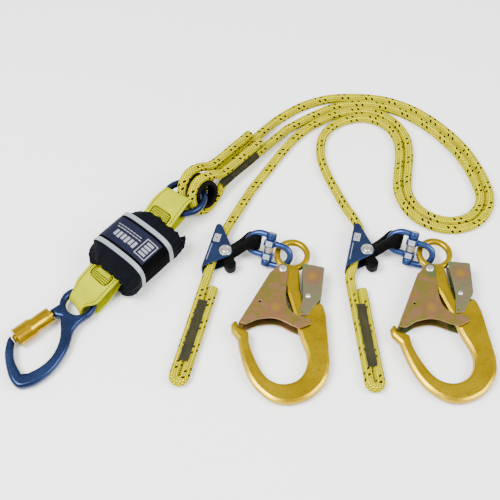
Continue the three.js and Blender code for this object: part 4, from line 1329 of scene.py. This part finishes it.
def link(number):
    """Two half links that fold about one pin, with a collar between them."""
    placed = link_placing(number)
    turned = placed @ Matrix.Rotation(math.pi, 4, "Z")
    body = f"link_cam_half_{number}"
    half_link(f"cam_side_link_{number}", body, placed)
    half_link(f"hook_side_link_{number}", f"link_hook_half_{number}", turned)
    rim = [(0, -23), (2.6, -23), (3.2, -22.6), (3.8, -22)]
    profile = [*rim, *((radius, -height) for radius, height in rim[::-1])]
    pin = lathe(f"load_pin_{number}", profile, STEEL, placed @ ON_Y)
    fitted(pin, body, "steel", f"link_pin_{number}")
    rim = [(4.1, -4), (5.4, -4), (5.8, -3.6)]
    profile = [*rim, *((radius, -height) for radius, height in rim[::-1])]
    collar = lathe(f"pin_collar_{number}", profile, STEEL, placed @ ON_Y, loop=True)
    fitted(collar, body, "steel", f"link_collar_{number}")


STRAP_WIDTH = 19.0
STRAP_THICKNESS = 5.4
LOOP_REACH = 0.0105  # metres, the strap's half circle past the bar
LOOP_RISE = 0.0078


def strap_route(rivet, bar, forward, over):
    """A loop in metres: from the rivet out over the bar, round well past it and back."""
    start = rivet + Vector((0.006, 0.002, 0.001))
    centre = bar + forward * 0.004
    turns = arc(0, 0, 1, 100, -100, 10)
    around = [centre + forward * (LOOP_REACH * x) + over * (LOOP_RISE * y) for x, y in turns]
    out = [start + over * 0.004, start.lerp(around[0], 0.5) + over * 0.002]
    back = [start.lerp(around[-1], 0.5) - over * 0.001, start - over * 0.004]
    return smooth_path([*out, *around, *back], 0.0012)


def strap(rivet, bar, wide):
    """The thick rubber loop, which lies flat across the link's bar."""
    to_bar = bar - rivet
    forward = (to_bar - wide * to_bar.dot(wide)).normalized()
    over = forward.cross(wide)
    if over.z < 0:
        over = -over
    path = strap_route(rivet, bar, forward, over)
    half = STRAP_WIDTH / 2 * MM
    thick = STRAP_THICKNESS / 2 * MM
    corner = [(0.8, -1), (0.93, -0.8), (1, -0.3)]
    right = [*corner, *((a, -b) for a, b in corner[::-1])]
    section = [*right, *((-a, -b) for a, b in right)]
    rings = []
    for point, tangent in zip(path, directions(path)):
        normal = tangent.cross(wide).normalized()
        rings.append([point + wide * (a * half) + normal * (b * thick) for a, b in section])
    return loft("strap", rings, BLACK, angle=50)


def cam(number):
    """The rubber cam in the adjuster, and the strap from it round the link's bar."""
    rivet = joint_place(f"cam_turn_{number}")
    level = placing(rivet, Vector((1, 0, 0)), Vector((0, 1, 0)), UP)
    upper = [(-6.4, -2), (-4.5, 5), (2, 8.2), (9, 7), (11.5, 0), (10, -8), (13.5, -15), (12, -22)]
    lower = [(5, -24.5), (-0.5, -20), (-2.5, -12), (-5.6, -6.5), (-6.4, -2)]
    lobes = smooth([*upper, *lower])[:-1]
    body = plate("lobes", lobes[::-1], -7, 7, BLACK, level, edge=2, turns=4, angle=60)
    swing = f"link_swing_{number}"
    loop = strap(rivet, joint_place(swing), joint_axis(swing))
    obj = joined(f"rope_cam_{number}", body, loop)
    fitted(obj, f"cam_{number}", "black_plastic", f"cam_{number}", f"cam_boot_{number}")


for number in (1, 2):
    link(number)
    cam(number)

# ---------------------------------------------------------------- scaffold hooks

GATE_RIVET = (-12.5, -24.5)
LEVER_RIVET = (17.6, -61.9)
HOOK_HALF = 6.0
GATE_INNER = 8.1
GATE_OUTER = 9.6
LEVER_INNER = 6.4
LEVER_OUTER = 7.7


def hook_body(number, placed):
    """The forged bend with its nose, and the round eye at its head."""
    neck = [(12, -66), (22, -70), (31, -68.5), (36.5, -74), (39.4, -88)]
    outer = [(41.5, -149), (38, -167), (29, -181.5), (14, -194), (-7, -200.3), (-26.5, -197)]
    outer += [(-42, -185.5), (-53, -171), (-60.5, -153), (-65.5, -133), (-68, -118)]
    nose = [(-75.6, -107), (-76, -98), (-71.6, -93), (-67.8, -94), (-66.4, -100.4), (-54, -108.5)]
    inner = [(-53.5, -122), (-49, -137.4), (-40.5, -157), (-30, -170), (-15, -175.3), (0, -171.8)]
    inner += [(9.5, -162), (14, -147.3), (12.5, -134), (8, -120)]
    outline = [(8, -19), (8, -50), *smooth(neck), *smooth(outer), *nose, *smooth(inner)]
    outline += [(-7, -60), (-17, -32), (-15, -17)]
    body = plate(
        "bend", outline, -HOOK_HALF, HOOK_HALF, HOOK_GOLD, placed, edge=4.4, turns=1, angle=25
    )
    lower = [(15.1, -1.6), (15.7, -3.2), (17, -4), (21, -4), (22.1, -3.2), (22.5, -1.8)]
    profile = [*lower, *((radius, -height) for radius, height in lower[::-1])]
    eye = lathe("eye", profile, HOOK_GOLD, placed, sides=72, loop=True, angle=50)
    obj = joined(f"scaffold_hook_{number}", body, eye)
    fitted(obj, f"hook_{number}", "gold_forging", f"hook_body_{number}")


def gate_web(placed, zinc, inner):
    """Joins the gate's two leaves along their outer edge with a round bend."""
    bend = arc(0, inner - 2, 3.5, 90, 0, 6)
    inside = arc(0, inner - 2, 2.0, 0, 90, 6)
    section = bend + [(x, -z) for x, z in reversed(bend)]
    section += [(x, -z) for x, z in reversed(inside)] + inside
    top = Vector((-27.5, -28.5, 0))
    foot = Vector((-66, -97.5, 0))
    along = (foot - top).normalized()
    away = Vector((along.y, -along.x, 0))
    rings = [[end + away * (x - 2.6) + UP * z for x, z in section] for end in (top, foot)]
    return loft("web", rings, zinc, placed, angle=30)


def hook_gate(number, placed):
    """The sheet gate: a leaf on each side of the hook, joined along their outer edge."""
    # The gate's zinc, with a painted highlight round a place on its outer leaf.
    zinc = passivated(f"gate_zinc_{number}", GATE_TINTS, placed @ Vector((-22, -78, GATE_OUTER)))
    lower = [(-44.3, -94.4), (-29, -92.6), (-16.7, -95.2), (-4.6, -102), (6, -106.8)]
    upper = [(4, -89.5), (-5, -81.5), (-9.3, -69), (-8.2, -46), (-5.5, -26)]
    outline = [(-27, -28.5), (-66.5, -98.2), (-59, -101.3), *smooth(lower, 3)]
    outline += [(19.8, -101), (19.4, -93.8), *smooth(upper, 3), *arc(*GATE_RIVET, 7.4, 18, 144, 14)]
    hole = circle(1.5, -41, -70, 20)[::-1]
    plates = leaves(
        outline, GATE_INNER, GATE_OUTER, zinc, placed, holes=[hole], edge=0.35, turns=2
    )
    obj = joined(f"safety_gate_{number}", *plates, gate_web(placed, zinc, GATE_INNER))
    fitted(obj, f"hook_gate_{number}", "zinc_plate", f"hook_gate_{number}")


def lock_lever(number, placed):
    """The lever: a cheek on each side inside the gate's leaves, and a thumb pad between them."""
    # Where the painted highlight sits on the lever's outer cheek.
    painted_highlight_place = placed @ Vector((24, -34, LEVER_OUTER))
    zinc = passivated(f"lever_zinc_{number}", LEVER_TINTS, painted_highlight_place)
    corners = [(12, -15.5), (39.4, -21.5), (33.6, -63.6), (21, -81), (16, -88.5), (6, -88), (11.5, -62)]
    outline = rounded(corners[::-1], 3)
    hole = circle(1.4, 10.4, -84, 20)[::-1]
    plates = leaves(
        outline, LEVER_INNER, LEVER_OUTER, zinc, placed, holes=[hole], edge=0.3, turns=2
    )
    corners = [(39.2, -21.6), (34.6, -57.4), (33.3, -57.4), (37.9, -21.3)]
    pad = plate("pad", corners, -LEVER_INNER, LEVER_INNER, zinc, placed, edge=0.2)
    obj = joined(f"lock_lever_plates_{number}", *plates, pad)
    fitted(obj, f"lock_lever_{number}", "green_zinc_plate", f"lock_lever_{number}")


def hook_rivet(name, node, body, place, radius, outer, placed):
    """A shank through the hook with a head on each side."""
    heads = [dome(radius * 1.7, 1.8, placed @ facing(side, outer + 0.1, *place)) for side in (1, -1)]
    section = circle(radius, *place, sides=24)
    rings = [[Vector((x, y, z)) for x, y in section] for z in (-outer, outer)]
    shank = loft("shank", rings, STEEL, placed)
    fitted(joined(name, *heads, shank), body, "steel", node)


def scaffold_hook(number):
    turn = f"hook_gate_turn_{number}"
    swing = joint_axis(f"hook_swing_{number}")
    placed = hung_frame(joint_place(turn), -swing, joint_axis(turn), GATE_RIVET)
    body = f"hook_{number}"
    hook_body(number, placed)
    hook_gate(number, placed)
    lock_lever(number, placed)
    hook_rivet(f"gate_pin_{number}", f"gate_rivet_{number}", body, GATE_RIVET, 3, GATE_OUTER, placed)
    hook_rivet(f"lever_pin_{number}", f"lever_rivet_{number}", body, LEVER_RIVET, 2, LEVER_OUTER, placed)
    repaint(f"gate_spring_{number}", STEEL)


scaffold_hook(1)
scaffold_hook(2)
repaint("gate_hinge_pin", STEEL)
repaint("sleeve_spring", STEEL)

# ---------------------------------------------------------------- stage


FLOOR_HALF = 6.0
SKY_STRENGTH = 1.15


def lamp(name, place, size, power):
    """A round lamp that faces the middle of the row frame."""
    data = bpy.data.lights.new(name, "AREA")
    data.shape = "DISK"
    data.size = size
    data.energy = power
    obj = bpy.data.objects.new(name, data)
    obj.location = place
    obj.rotation_euler = (-Vector(place)).to_track_quat("-Z", "Y").to_euler()
    bpy.context.scene.collection.objects.link(obj)


def studio():
    mesh = bpy.data.meshes.new("floor")
    signs = ((-1, -1), (1, -1), (1, 1), (-1, 1))
    mesh.from_pydata([(a * FLOOR_HALF, b * FLOOR_HALF, 0) for a, b in signs], [], [(0, 1, 2, 3)])
    floor = finished("floor", mesh, studio_floor())
    world = bpy.data.worlds.new("studio")
    world.use_nodes = True
    background = world.node_tree.nodes["Background"]
    background.inputs["Color"].default_value = (1, 1, 1, 1)
    background.inputs["Strength"].default_value = SKY_STRENGTH
    bpy.context.scene.world = world
    lamp("key", place=(-0.9, -0.5, 1.8), size=1.1, power=90)
    lamp("fill", place=(1.3, -0.5, 1.5), size=1.2, power=46)


studio()
bpy.context.view_layer.update()
